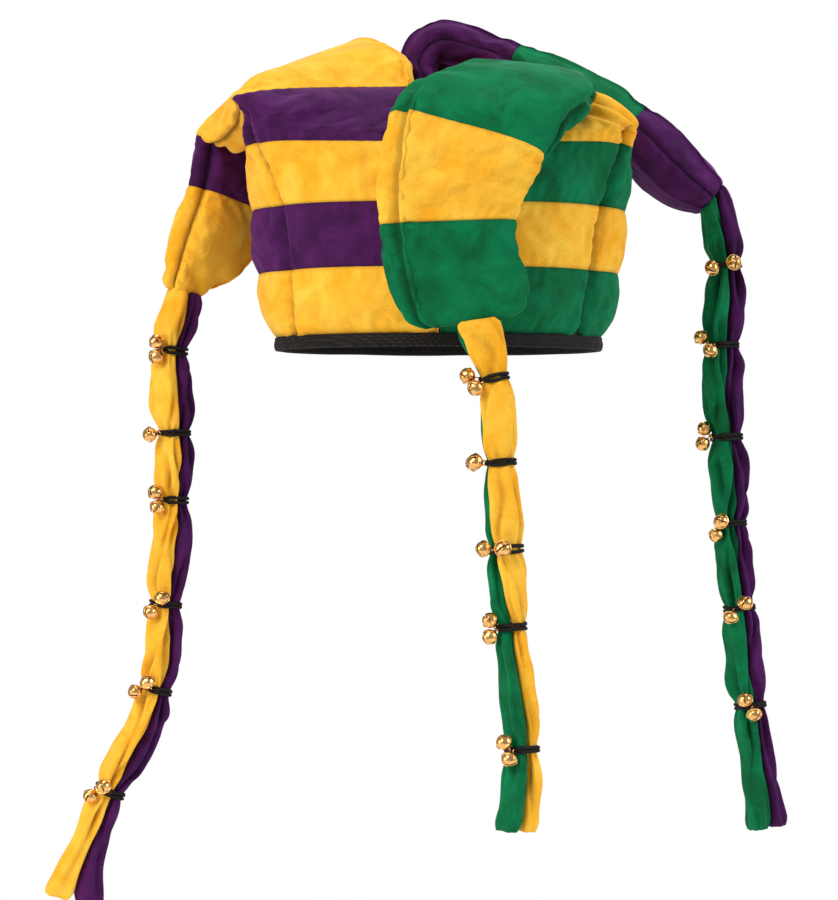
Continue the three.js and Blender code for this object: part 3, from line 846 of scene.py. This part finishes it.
@dataclass
class Stuffing:
    """The cloth simulation that swells the stitched velvet between its seams."""

    frames: int = 20
    pressure: float = 4.0
    spare: float = -0.035
    cap_mm: float = 2.8

    def swell(self, pieces: list[bpy.types.Object]) -> None:
        """Simulates the pieces together and applies the result to their meshes.

        Args:
            pieces: the stitched velvet pieces, with their pins in a vertex group.
        """
        for piece in pieces:
            self.prepare(piece)
        scene = bpy.context.scene
        for number in range(1, self.frames + 1):
            scene.frame_set(number)
        graph = bpy.context.evaluated_depsgraph_get()
        for piece in pieces:
            self.apply(piece, graph)
        scene.frame_set(1)

    def prepare(self, piece: bpy.types.Object) -> None:
        """Adds the cloth modifier to one piece."""
        cloth = piece.modifiers.new("cloth", "CLOTH")
        settings = cloth.settings
        settings.quality = 6
        settings.mass = 0.2
        settings.tension_stiffness = 15
        settings.compression_stiffness = 15
        settings.shear_stiffness = 5
        settings.bending_stiffness = 0.4
        settings.vertex_group_mass = "pins"
        settings.use_pressure = True
        settings.uniform_pressure_force = self.pressure
        settings.shrink_min = self.spare
        settings.effector_weights.gravity = 0
        cloth.collision_settings.use_collision = False
        cloth.point_cache.frame_end = self.frames

    def apply(self, piece: bpy.types.Object, graph: bpy.types.Depsgraph) -> None:
        """Takes the simulated places over, none of them further than the cap, and removes the modifier."""
        count = len(piece.data.vertices)
        before = np.zeros(count * 3, np.float32)
        after = np.zeros(count * 3, np.float32)
        piece.data.vertices.foreach_get("co", before)
        piece.evaluated_get(graph).data.vertices.foreach_get("co", after)
        move = (after - before).reshape(-1, 3)
        length = np.maximum(np.linalg.norm(move, axis=1, keepdims=True), 1e-9)
        move *= np.minimum(1.0, self.cap_mm * MM / length)
        log.info("%s swelled by up to %.1f mm", piece.name, 1000 * float(length.max()))
        piece.modifiers.remove(piece.modifiers["cloth"])
        piece.data.vertices.foreach_set("co", (before + move.ravel()).astype(np.float32))
        piece.data.update()


@dataclass
class TieRow:
    """One row of a tail's table: an elastic, or the tail's top or cut end."""

    drop: float
    swing: float
    twist: float
    full: float
    waist: float
    side_a: float = 0.0
    rise_a: float = 0.0
    side_b: float = 0.0
    rise_b: float = 0.0


TAIL_ROWS = {
    Side.LEFT: [
        TieRow(0.0, 0.0, 34, 0, 0.8),
        TieRow(0.093, -0.02, 38, 0.9, 0.72, 34, 0.5, 36, -0.5),
        TieRow(0.229, -0.016, 44, 0.95, 0.72, 58, -0.1, 112, -0.1),
        TieRow(0.339, -0.019, 38, 0.9, 0.72, 40, 0.5, 34, -0.5),
        TieRow(0.511, -0.03, 36, 0.9, 0.72, 4, 0.5, 34, -0.5),
        TieRow(0.651, -0.045, 30, 0.85, 0.7, 18, 0.5, 52, -0.3),
        TieRow(0.819, -0.122, 28, 0.85, 0.7, 10, 0.4, 52, -0.5),
        TieRow(1.0, -0.184, 20, 0.85, 1.05),
    ],
    Side.FRONT: [
        TieRow(0.0, 0.0, -90, 0, 0.8),
        TieRow(0.083, 0.026, -90, 0.85, 0.68, 74, 0.3, 48, -0.5),
        TieRow(0.21, 0.036, -88, 0.9, 0.7, 62, 0.1, 112, 0.0),
        TieRow(0.341, 0.044, -64, 0.85, 0.7, 52, 0.1, 8, 0.1),
        TieRow(0.458, 0.052, 4, 0.8, 0.7, 55, 0.5, 55, -0.5),
        TieRow(0.642, 0.068, 34, 0.8, 0.7, 44, 0.5, 30, -0.5),
        TieRow(0.767, 0.06, 36, 0.8, 0.95),
    ],
    Side.BACK: [
        TieRow(0.0, 0.0, 12, 0, 0.85),
        TieRow(0.108, 0.018, 18, 0.85, 0.72, 36, -0.2, -12, 0.1),
        TieRow(0.239, 0.013, 26, 0.9, 0.72, 66, 0.5, 34, -0.4),
        TieRow(0.39, 0.019, 26, 0.9, 0.72, 76, 0.6, 72, -0.4),
        TieRow(0.532, 0.026, 20, 0.85, 0.72, 26, 0.2, 50, -0.7),
        TieRow(0.671, 0.04, 26, 0.8, 0.7, -8, 0.4, 26, -0.5),
        TieRow(0.831, 0.058, 26, 0.8, 0.7, 18, 0.5, -4, -0.5),
        TieRow(1.033, 0.084, 24, 0.8, 1.0),
    ],
}

STRAND_PILES = {
    Side.LEFT: (Pile.GOLD, Pile.PURPLE),
    Side.FRONT: (Pile.GREEN, Pile.GOLD),
    Side.BACK: (Pile.GREEN, Pile.PURPLE),
}


TAIL_SEATS = {Side.LEFT: 0.54, Side.FRONT: 0.6, Side.BACK: 0.5}


@dataclass(frozen=True)
class Drape:
    """How slack a pair of strands hangs.

    The cut ends spread by end_spread and the top flares by top_flare. The gaps are half the distance between
    each elastic's two turns, folds scales the depth of the lengthwise folds, and aside moves the pair to the
    right, in millimetres.
    """

    end_spread: float
    top_flare: float
    gaps: tuple[float, ...]
    folds: float
    aside: float


DRAPES = {
    Side.LEFT: Drape(1.6, 0.0, (1.5, 1.0, 1.4, 1.1, 1.2, 1.3), 1.0, 1.8),
    Side.FRONT: Drape(1.1, 0.35, (1.2, 1.0, 1.5, 1.2, 1.0), 0.5, -1.0),
    Side.BACK: Drape(1.1, 0.05, (1.0, 1.05, 1.2, 1.0, 1.0, 1.0), 1.15, 0.4),
}


@dataclass
class PathPoint:
    """The pair of strands at one place: its centre, its three axes and how full it is."""

    centre: np.ndarray
    along: np.ndarray
    across: np.ndarray
    tangent: np.ndarray
    fullness: float


class TailPath:
    """Where the pair of strands under a horn runs."""

    def __init__(self, side: Side) -> None:
        """Starts the path at the horn's end."""
        tip = HORN_ROWS[side][-1].profile()
        origin, axis_u, axis_v = section_axes(side, tip)
        self.rows = TAIL_ROWS[side]
        self.normal = np.cross(axis_u, axis_v)
        self.tip = origin + axis_u * (TAIL_SEATS[side] * tip.ridge - 0.5 * tip.cap) + self.normal * SEWN_SHARE
        self.points = [self.tip + np.array([row.swing, 0, -row.drop]) * STRAND_LENGTH
                       + np.array([DRAPES[side].aside, 0, 0]) for row in self.rows]

    def position(self, share: float) -> np.ndarray:
        """The centre line's point at a share of its rows, on a centripetal Catmull-Rom curve."""
        points = self.points
        last = len(points) - 1
        place = last * min(max(share, 0.0), 1.0)
        index = min(int(place), last - 1)
        weight = place - index
        p1, p2 = points[index], points[index + 1]
        p0 = points[index - 1] if index > 0 else 2 * points[0] - points[1]
        p3 = points[index + 2] if index + 2 <= last else 2 * points[last] - points[last - 1]
        d0, d1, d2 = (max(float(np.linalg.norm(b - a)), 1e-4) ** 0.5
                      for a, b in ((p0, p1), (p1, p2), (p2, p3)))
        t1 = ((p1 - p0) / d0 - (p2 - p0) / (d0 + d1) + (p2 - p1) / d1) * d1
        t2 = ((p2 - p1) / d1 - (p3 - p1) / (d1 + d2) + (p3 - p2) / d2) * d1
        c2 = -3 * p1 + 3 * p2 - 2 * t1 - t2
        c3 = 2 * p1 - 2 * p2 + t1 + t2
        return p1 + t1 * weight + c2 * weight ** 2 + c3 * weight ** 3

    def at(self, place: float) -> PathPoint:
        """The pair at a row number, which may lie between two rows."""
        last = len(self.rows) - 1
        index = min(int(place), last - 1)
        t = place - index
        above, below = self.rows[index], self.rows[index + 1]
        gathered = above.waist + (below.waist - above.waist) * t
        fullness = gathered + (below.full - gathered) * math.sin(math.pi * min(t, 1)) ** 0.7
        share = place / last
        ahead = self.position(min(1, share + 1e-3)) - self.position(max(0, share - 1e-3))
        tangent = self.normal if place == 0 else ahead / np.linalg.norm(ahead)
        turn = math.radians(above.twist + (below.twist - above.twist) * t)
        along = np.array([math.cos(turn), math.sin(turn), 0])
        along = along - tangent * float(along @ tangent)
        along /= np.linalg.norm(along)
        return PathPoint(self.position(share), along, np.cross(tangent, along), tangent, fullness)

    def runs(self, step: float) -> tuple[np.ndarray, np.ndarray, list[float]]:
        """Stations about one step apart.

        Args:
            step: the distance from station to station in millimetres.

        Returns:
            Their row numbers, their distances from the tip, and the elastics' distances from it.
        """
        last = len(self.rows) - 1
        places = np.linspace(0, last, 40 * last + 1)
        centres = np.array([self.position(p / last) for p in places])
        lengths = np.concatenate([[0], np.cumsum(np.linalg.norm(np.diff(centres, axis=0), axis=1))])
        runs = np.linspace(0, lengths[-1], round(lengths[-1] / step) + 1)
        ties = [float(np.interp(i, places, lengths)) for i in range(1, last)]
        return np.interp(runs, lengths, places), runs, ties


@dataclass
class Tail:
    """The two velvet strands under a horn, with their elastics and bells."""

    side: Side
    wardrobe: Wardrobe
    ring_step: float = 2.7
    around_steps: int = 40
    pinch: float = 0.2
    pleat_depth: float = 1.2
    fold_depth: float = 4.2
    tuck: float = 2.5

    def __post_init__(self) -> None:
        """Works out the path and its stations once."""
        self.path = TailPath(self.side)
        self.places, self.runs, self.ties = self.path.runs(self.ring_step)
        self.drape = DRAPES[self.side]

    def tie_size(self, spot: PathPoint) -> tuple[float, float]:
        """The gathered pair's reach to both sides and its half depth, under an elastic."""
        reach = (1 - self.pinch) * spot.fullness * STRAND_THICKNESS
        half = (1 - self.pinch) * 0.5 * spot.fullness ** 0.5 * STRAND_WIDTH
        return reach, half

    def swing(self, run: float, size: float, seed: float) -> float:
        """Smooth noise along the tail, from -1 to 1."""
        return 1.7 * noise.noise(Vector((run / size, seed, 0.37 * HEADINGS[self.side])))

    def strand_ring(self, hand: int, place: float, run: float) -> tuple[np.ndarray, np.ndarray]:
        """One strand's outline at a station, and the painted shade in its folds and where it meets the other
        strand.

        Args:
            hand: -1 for the pair's first strand, 1 for its second.
            place: the station's row number.
            run: its distance from the horn's tip in millimetres.

        Returns:
            Points by xyz in millimetres, and the painted shade of each from 0 to 1.
        """
        spot = self.path.at(float(place))
        near = min(abs(run - tie) for tie in self.ties)
        end = self.runs[-1] - run
        free = 1 - math.exp(-(near / 10) ** 2)
        pinch = 1 - self.pinch * math.exp(-(near / 7) ** 2)
        flat = math.exp(-(end / 24) ** 2)
        spread = 1 + (self.drape.end_spread - 1) * flat
        flare = 1 + self.drape.top_flare * math.exp(-(run / 16) ** 2)
        middle = 1.4 * free * self.swing(run, 42, 4.0)
        reach = spot.fullness * STRAND_THICKNESS * pinch * spread * (
            1 + 0.1 * free * self.swing(run, 40, hand))
        half = 0.5 * spot.fullness ** 0.5 * STRAND_WIDTH * pinch * flare / spread ** 0.7 * (
            1 + 0.09 * free * self.swing(run, 36, 9.0 + hand))
        turn = np.linspace(-math.pi, math.pi, self.around_steps, endpoint=False)
        cos, sin = np.cos(turn), np.sin(turn)
        width = 0.5 * (reach - hand * middle)
        along = hand * middle + width * (1 + squared(cos))
        across = half * squared(sin)
        gathers = math.exp(-(near / 9) ** 2) - math.exp(-(near / 2) ** 2)
        depth = self.pleat_depth * gathers * np.cos(8 * turn + 2.0 * hand)
        creased = self.folds(hand, run, near, turn)
        depth += creased
        lumps = [noise.noise(Vector((run / 17, 1.2 * c + 11.0 * hand, 1.2 * w))) for c, w in zip(cos, sin)]
        depth += 1.2 * free * np.array(lumps)
        along = hand * np.maximum(0.02 + hand * middle, along + depth * cos)
        across = across + depth * sin
        # Painted shade: darker in the folds and along the line where the two strands meet.
        beside = np.exp(-((along - hand * middle) / 1.1) ** 2)
        shade = np.clip(-creased / (2.2 * self.fold_depth), 0, 0.45) + 0.35 * beside
        if hand < 0:
            along, across, shade = along[::-1], across[::-1], shade[::-1]
        wobble = spot.along * self.swing(run, 48, 31.0) + spot.across * self.swing(run, 52, 36.0)
        centre = spot.centre + 1.2 * free * wobble
        ring = centre + along[:, None] * spot.along + across[:, None] * spot.across
        return ring, np.clip(shade, 0, DARKEST_SHADE)

    def folds(self, hand: int, run: float, near: float, turn: np.ndarray) -> np.ndarray:
        """The lengthwise folds that run out from the elastics into the slack cloth between them.

        Args:
            hand: which strand.
            run: the station's distance from the horn's tip.
            near: its distance from the nearest elastic.
            turn: the angles of the strand's outline.

        Returns:
            How far the cloth stands out at each angle; less than 0 in a fold.
        """
        deep = math.exp(-((near - 12) / 13) ** 2) + 0.35 * (1 - math.exp(-(near / 20) ** 2))
        depth = np.zeros_like(turn)
        for number, angle in enumerate((38, -52, 105, -125)):
            centre = math.radians(angle + 46 * self.swing(run, 38, 20.0 + 5 * number + hand))
            strength = deep * min(1, max(0, 0.7 + 0.9 * self.swing(run, 30, 50.0 + 7 * number + hand)))
            away = np.abs(np.angle(np.exp(1j * (turn - centre))))
            valley = groove(away, 1.0, 0.24) - groove(away - 0.55, 0.4, 0.26)
            depth -= strength * self.drape.folds * self.fold_depth * valley
        return depth

    def strand(self, hand: int) -> bpy.types.Object:
        """Builds one strand as a slack velvet tube, gathered at each elastic and stitched flat at its end."""
        stations = [self.strand_ring(hand, place, run) for place, run in zip(self.places, self.runs)]
        rings, shades = [ring for ring, _ in stations], [shade for _, shade in stations]
        top = rings[0].mean(axis=0)
        rings.insert(0, top + 0.8 * (rings[0] - top) - self.path.normal * self.tuck)
        shades.insert(0, shades[0])
        for back, shrink in ((1, 0.72), (2, 0.9)):
            centre = rings[-back].mean(axis=0)
            rings[-back] = centre + shrink * (rings[-back] - centre)
        pile = STRAND_PILES[self.side][0 if hand < 0 else 1]
        piece = tube_mesh(f"{self.side.value}_strand_{pile.value}", np.array(rings))
        store_shade(piece, np.array(shades))
        piece.data.materials.append(self.wardrobe.get(VELVETS[pile]))
        subdivide(piece)
        report_piece(piece, f"{pile.value}_velvet", f"{self.side.value}_tail_{pile.value}")
        return piece

    def elastic(self, number: int) -> bpy.types.Object:
        """Builds the covered elastic, wound twice round the gathered pair and drawn together at the bells."""
        spot = self.path.at(number)
        row = self.path.rows[number]
        reach, half = self.tie_size(spot)
        reach += 0.6 * ELASTIC_CORD
        half += 0.6 * ELASTIC_CORD
        middle = math.radians(0.5 * (row.side_a + row.side_b))
        heading = np.array([-math.sin(middle), -math.cos(middle), 0])
        at_bells = math.atan2(float(heading @ spot.across) / half, float(heading @ spot.along) / reach)
        bm = bmesh.new()
        for turn in (-1, 1):
            self.wind(bm, spot, (reach, half), turn * self.drape.gaps[number - 1], at_bells)
        piece = finish_mesh(f"{self.side.value}_elastic_{number}", bm)
        piece.data.materials.append(self.wardrobe.get(TRIM))
        report_piece(piece, "black_binding", f"{self.side.value}_bells_{number}")
        return piece

    def wind(self, bm: bmesh.types.BMesh, spot: PathPoint, size: tuple[float, float], offset: float,
             at_bells: float) -> None:
        """Adds one turn of the elastic to a bmesh.

        Args:
            bm: where it goes.
            spot: the pair at the elastic.
            size: the turn's two half axes.
            offset: how far it lies along the strands from the elastic's middle.
            at_bells: the angle at which both turns meet.
        """
        angles = np.linspace(0, 2 * math.pi, 64, endpoint=False) + 0.02
        away = np.angle(np.exp(1j * (angles - at_bells)))
        apart = offset * (1 - 0.7 * np.exp(-away ** 2 / 0.35)) + 0.25 * np.sin(3 * angles + offset)
        along = 0.5 * size[0] * (np.sign(np.cos(angles)) + squared(np.cos(angles)))
        path = (spot.centre + np.outer(along, spot.along)
                + np.outer(size[1] * squared(np.sin(angles)), spot.across) + np.outer(apart, spot.tangent))
        direction = np.roll(path, -1, axis=0) - np.roll(path, 1, axis=0)
        direction /= np.linalg.norm(direction, axis=1, keepdims=True)
        side = np.cross(direction, spot.tangent)
        side /= np.linalg.norm(side, axis=1, keepdims=True)
        up = np.cross(side, direction)
        section = np.linspace(0, 2 * math.pi, 8, endpoint=False)
        points = path[:, None] + 0.5 * ELASTIC_CORD * (np.cos(section)[None, :, None] * side[:, None]
                                                       + np.sin(section)[None, :, None] * up[:, None])
        loop = tube_mesh("loop", points, closed=True)
        bm.from_mesh(loop.data)
        bpy.data.meshes.remove(loop.data)

    def bells(self, number: int) -> bpy.types.Object:
        """Builds the two jingle bells of one elastic."""
        spot = self.path.at(number)
        row = self.path.rows[number]
        reach, half = self.tie_size(spot)
        bm = bmesh.new()
        for index, (around, rise) in enumerate(((row.side_a, row.rise_a), (row.side_b, row.rise_b))):
            heading = np.array([-math.sin(math.radians(around)), -math.cos(math.radians(around)), 0])
            near, far = float(heading @ spot.along), float(heading @ spot.across)
            distance = 1 / math.hypot(near / (reach + 1.2 * ELASTIC_CORD), far / (half + 1.2 * ELASTIC_CORD))
            hold = spot.centre + spot.along * near * distance + spot.across * far * distance
            lift = math.asin(rise * BELL_DIAMETER / (BELL_EYE_LENGTH + 0.5 * BELL_DIAMETER))
            body = Vector((heading[0] * math.cos(lift), heading[1] * math.cos(lift), math.sin(lift)))
            spin = Matrix.Rotation(1.1 * number + 2.0 * index, 4, "Z")
            turn = body.to_track_quat("Z", "Y").to_matrix().to_4x4()
            bell = Bell().build()
            bmesh.ops.transform(bell, matrix=Matrix.Translation(Vector(hold * MM)) @ turn @ spin,
                                verts=bell.verts)
            mesh = bpy.data.meshes.new("bell")
            bell.to_mesh(mesh)
            bell.free()
            bm.from_mesh(mesh)
            bpy.data.meshes.remove(mesh)
        piece = finish_mesh(f"{self.side.value}_jingles_{number}", bm)
        piece.data.materials.append(self.wardrobe.get(BRASS))
        report_piece(piece, "brass_bells", f"{self.side.value}_bells_{number}")
        return piece

    def build(self) -> None:
        """Builds the tail's strands, elastics and bells."""
        for hand in (-1, 1):
            self.strand(hand)
        for number in range(1, len(self.path.rows) - 1):
            self.elastic(number)
            self.bells(number)


@dataclass
class Bell:
    """A small jingle bell: two stamped brass cups crimped together, with a wire eye, a slit and a ball."""

    diameter: float = BELL_DIAMETER
    eye_length: float = BELL_EYE_LENGTH
    wall: float = 0.35
    slit: float = 0.9
    rim: float = 0.45
    ball: float = 2.6

    def build(self) -> bmesh.types.BMesh:
        """Builds the bell along +Z, with its eye at the origin.

        Returns:
            A bmesh in metres.
        """
        radius = 0.5 * self.diameter * MM
        centre = Vector((0, 0, self.eye_length * MM + radius))
        bm = bmesh.new()
        bmesh.ops.create_uvsphere(bm, u_segments=24, v_segments=14, radius=radius * 0.95)
        for offset in (-0.5, 0.5):
            geometry = bm.verts[:] + bm.edges[:] + bm.faces[:]
            bmesh.ops.bisect_plane(bm, geom=geometry, plane_co=(offset * self.slit * MM, 0, 0),
                                   plane_no=(1, 0, 0))
        geometry = bm.verts[:] + bm.edges[:] + bm.faces[:]
        bmesh.ops.bisect_plane(bm, geom=geometry, plane_co=(0, 0, 0.3 * radius), plane_no=(0, 0, 1))
        slot = [face for face in bm.faces if abs(face.calc_center_median().x) < 0.5 * self.slit * MM
                and face.calc_center_median().z > 0.3 * radius]
        bmesh.ops.delete(bm, geom=slot, context="FACES")
        bmesh.ops.remove_doubles(bm, verts=bm.verts, dist=1e-6)
        bmesh.ops.solidify(bm, geom=bm.faces[:], thickness=self.wall * MM)
        bmesh.ops.create_icosphere(bm, subdivisions=2, radius=0.5 * self.ball * MM,
                                   matrix=Matrix.Translation((0, 0, 0.25 * radius)))
        self.ring(bm, radius * 0.97, self.rim * MM, Matrix.Identity(4), 28, 6)
        eye = Matrix.Translation((0, 0, -radius - 0.45 * self.eye_length * MM)) @ Matrix.Rotation(
            math.pi / 2, 4, "X")
        self.ring(bm, 0.55 * self.eye_length * MM, 0.38 * MM, eye, 14, 6)
        bmesh.ops.translate(bm, verts=bm.verts, vec=centre)
        return bm

    def ring(self, bm: bmesh.types.BMesh, radius: float, thickness: float, place: Matrix, steps: int,
             sides: int) -> None:
        """Spins a small circle into a closed ring round Z and puts it in its place."""
        profile = bmesh.ops.create_circle(bm, segments=sides, radius=thickness,
                                          matrix=Matrix.Translation((radius, 0, 0)) @ Matrix.Rotation(
                                              math.pi / 2, 4, "X"))
        verts = profile["verts"]
        edges = list({edge for vert in verts for edge in vert.link_edges})
        before = set(bm.verts) - set(verts)
        bmesh.ops.spin(bm, geom=verts + edges, cent=(0, 0, 0), axis=(0, 0, 1), angle=2 * math.pi,
                       steps=steps, use_merge=True)
        new = [vert for vert in bm.verts if vert not in before]
        bmesh.ops.transform(bm, matrix=place, verts=new)
        faces = list({face for vert in new for face in vert.link_faces})
        bmesh.ops.recalc_face_normals(bm, faces=faces)


@dataclass
class RimBinding:
    """The black woven binding folded over the rim, with a slight pucker from its stitching."""

    wardrobe: Wardrobe
    steps: int = 220

    def build(self) -> bpy.types.Object:
        """Spins the binding's rounded section round the head opening."""
        inner, outer = HEAD_RADIUS, HEAD_RADIUS + BINDING_THICKNESS
        top = BINDING_HEIGHT
        profile = [(inner, 1.4), (inner + 0.6, 0.3), (inner + 1.5, 0.0), (outer - 0.6, 0.3), (outer, 1.4),
                   (outer + 0.35, 2.8), (outer + 0.35, 4.4), (outer, 5.6), (outer - 0.25, 6.2),
                   (outer - 0.1, 6.9), (outer - 0.1, top - 0.5), (outer - 0.6, top), (inner + 0.4, top),
                   (inner, top - 0.6)]
        angles = np.linspace(0, 2 * math.pi, self.steps, endpoint=False)
        rings = []
        for angle in angles:
            pucker = 0.22 * math.sin(38 * angle) + 0.5 * noise.noise(
                Vector((6 * math.cos(angle), 6 * math.sin(angle), 2.0)))
            ring = []
            for radius, height in profile:
                swell = pucker * (1 if radius > outer - 1 else 0.2)
                drop = 0.35 * noise.noise(Vector((3 * math.cos(angle), 3 * math.sin(angle), 9.0)))
                height = max(0.0, height + drop * (1 - height / top))
                ring.append(((radius + swell) * math.cos(angle), (radius + swell) * math.sin(angle), height))
            rings.append(ring)
        piece = tube_mesh("rim_binding_band", np.array(rings), closed=True)
        piece.data.materials.append(self.wardrobe.get(TRIM))
        subdivide(piece)
        report_piece(piece, "black_binding", "rim_binding")
        return piece


@dataclass
class Studio:
    """A pale floor, a white surround, soft lights and the camera at the photograph's place."""

    camera_place: tuple[float, float, float] = (-0.0113, -2.0, -0.057)
    scale_mm_per_px: float = 0.58
    picture_height: int = 900
    sensor: float = 36.0
    floor_level: float = -0.42
    floor_radius: float = 0.8

    def camera(self) -> None:
        """Places the camera two metres away, level with the middle of the picture."""
        data = bpy.data.cameras.new("camera")
        data.sensor_fit = "AUTO"
        data.sensor_width = self.sensor
        distance = -self.camera_place[1] * 1000
        data.lens = self.sensor * distance / (self.scale_mm_per_px * self.picture_height)
        camera = bpy.data.objects.new("camera", data)
        camera.location = self.camera_place
        camera.rotation_euler = (math.pi / 2, 0, 0)
        bpy.context.scene.collection.objects.link(camera)
        bpy.context.scene.camera = camera

    def floor(self) -> None:
        """Lays a round pale floor below the tails."""
        bm = bmesh.new()
        bmesh.ops.create_circle(bm, cap_ends=True, segments=96, radius=self.floor_radius,
                                matrix=Matrix.Translation((0, 0, self.floor_level)))
        floor = finish_mesh("floor", bm)
        material, tree, output = blank_material("pale_floor")
        coat(tree, output, {"Base Color": linear("#f7f7f7"), "Roughness": 0.9})
        floor.data.materials.append(material)

    def surround(self) -> None:
        """Makes the world white where it's seen, and dimmer as a light."""
        world = bpy.data.worlds.new("surround")
        world.use_nodes = True
        tree = world.node_tree
        tree.nodes.clear()
        seen = add_node(tree, "Background", {"Color": linear("#ffffff"), "Strength": 1.0})
        lights = add_node(tree, "Background", {"Color": linear("#f4f6fa"), "Strength": 0.4})
        ray = add_node(tree, "LightPath")
        both = add_node(tree, "MixShader", {0: ray.outputs["Is Camera Ray"], 1: lights.outputs[0],
                                            2: seen.outputs[0]})
        output = add_node(tree, "OutputWorld", {"Surface": both.outputs[0]})
        output.is_active_output = True
        bpy.context.scene.world = world

    def light(self, name: str, place: tuple[float, float, float], size: float, power: float,
              colour: str) -> None:
        """Adds one square soft light that faces the hat."""
        data = bpy.data.lights.new(name, "AREA")
        data.size = size
        data.energy = power
        data.color = linear(colour)[:3]
        lamp = bpy.data.objects.new(name, data)
        lamp.location = place
        lamp.rotation_euler = (Vector((0, 0, 0.05)) - Vector(place)).to_track_quat("-Z", "Y").to_euler()
        bpy.context.scene.collection.objects.link(lamp)

    def build(self) -> None:
        """Builds the whole studio."""
        self.camera()
        self.floor()
        self.surround()
        bpy.context.scene.view_settings.view_transform = "Standard"
        self.light("key", (-1.2, -1.8, 1.4), 1.2, 40.0, "#fffaf2")
        self.light("fill", (2.2, -0.5, 0.7), 1.2, 30.0, "#f8f9ff")
        self.light("side", (-2.3, -0.9, 0.0), 1.0, 16.0, "#fff8ee")
        self.light("top", (0.1, 0.4, 1.9), 1.2, 16.0, "#ffffff")
        self.light("back", (0.6, 2.0, 0.9), 1.2, 12.0, "#ffffff")


def main() -> None:
    """Builds every piece in order."""
    logging.basicConfig(level=logging.INFO, format="%(message)s")
    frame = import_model()
    log.info("%d nodes in the frame", len(frame["nodes"]))
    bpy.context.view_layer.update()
    Studio().build()
    wardrobe = Wardrobe()
    sections = [Section(side, wardrobe) for side in Side]
    cloth = [piece for section in sections for piece in section.build()]
    Stuffing().swell(cloth)
    for section in sections:
        section.dress()
    for side in Side:
        Tail(side, wardrobe).build()
    RimBinding(wardrobe).build()


if __name__ == "__main__":
    main()
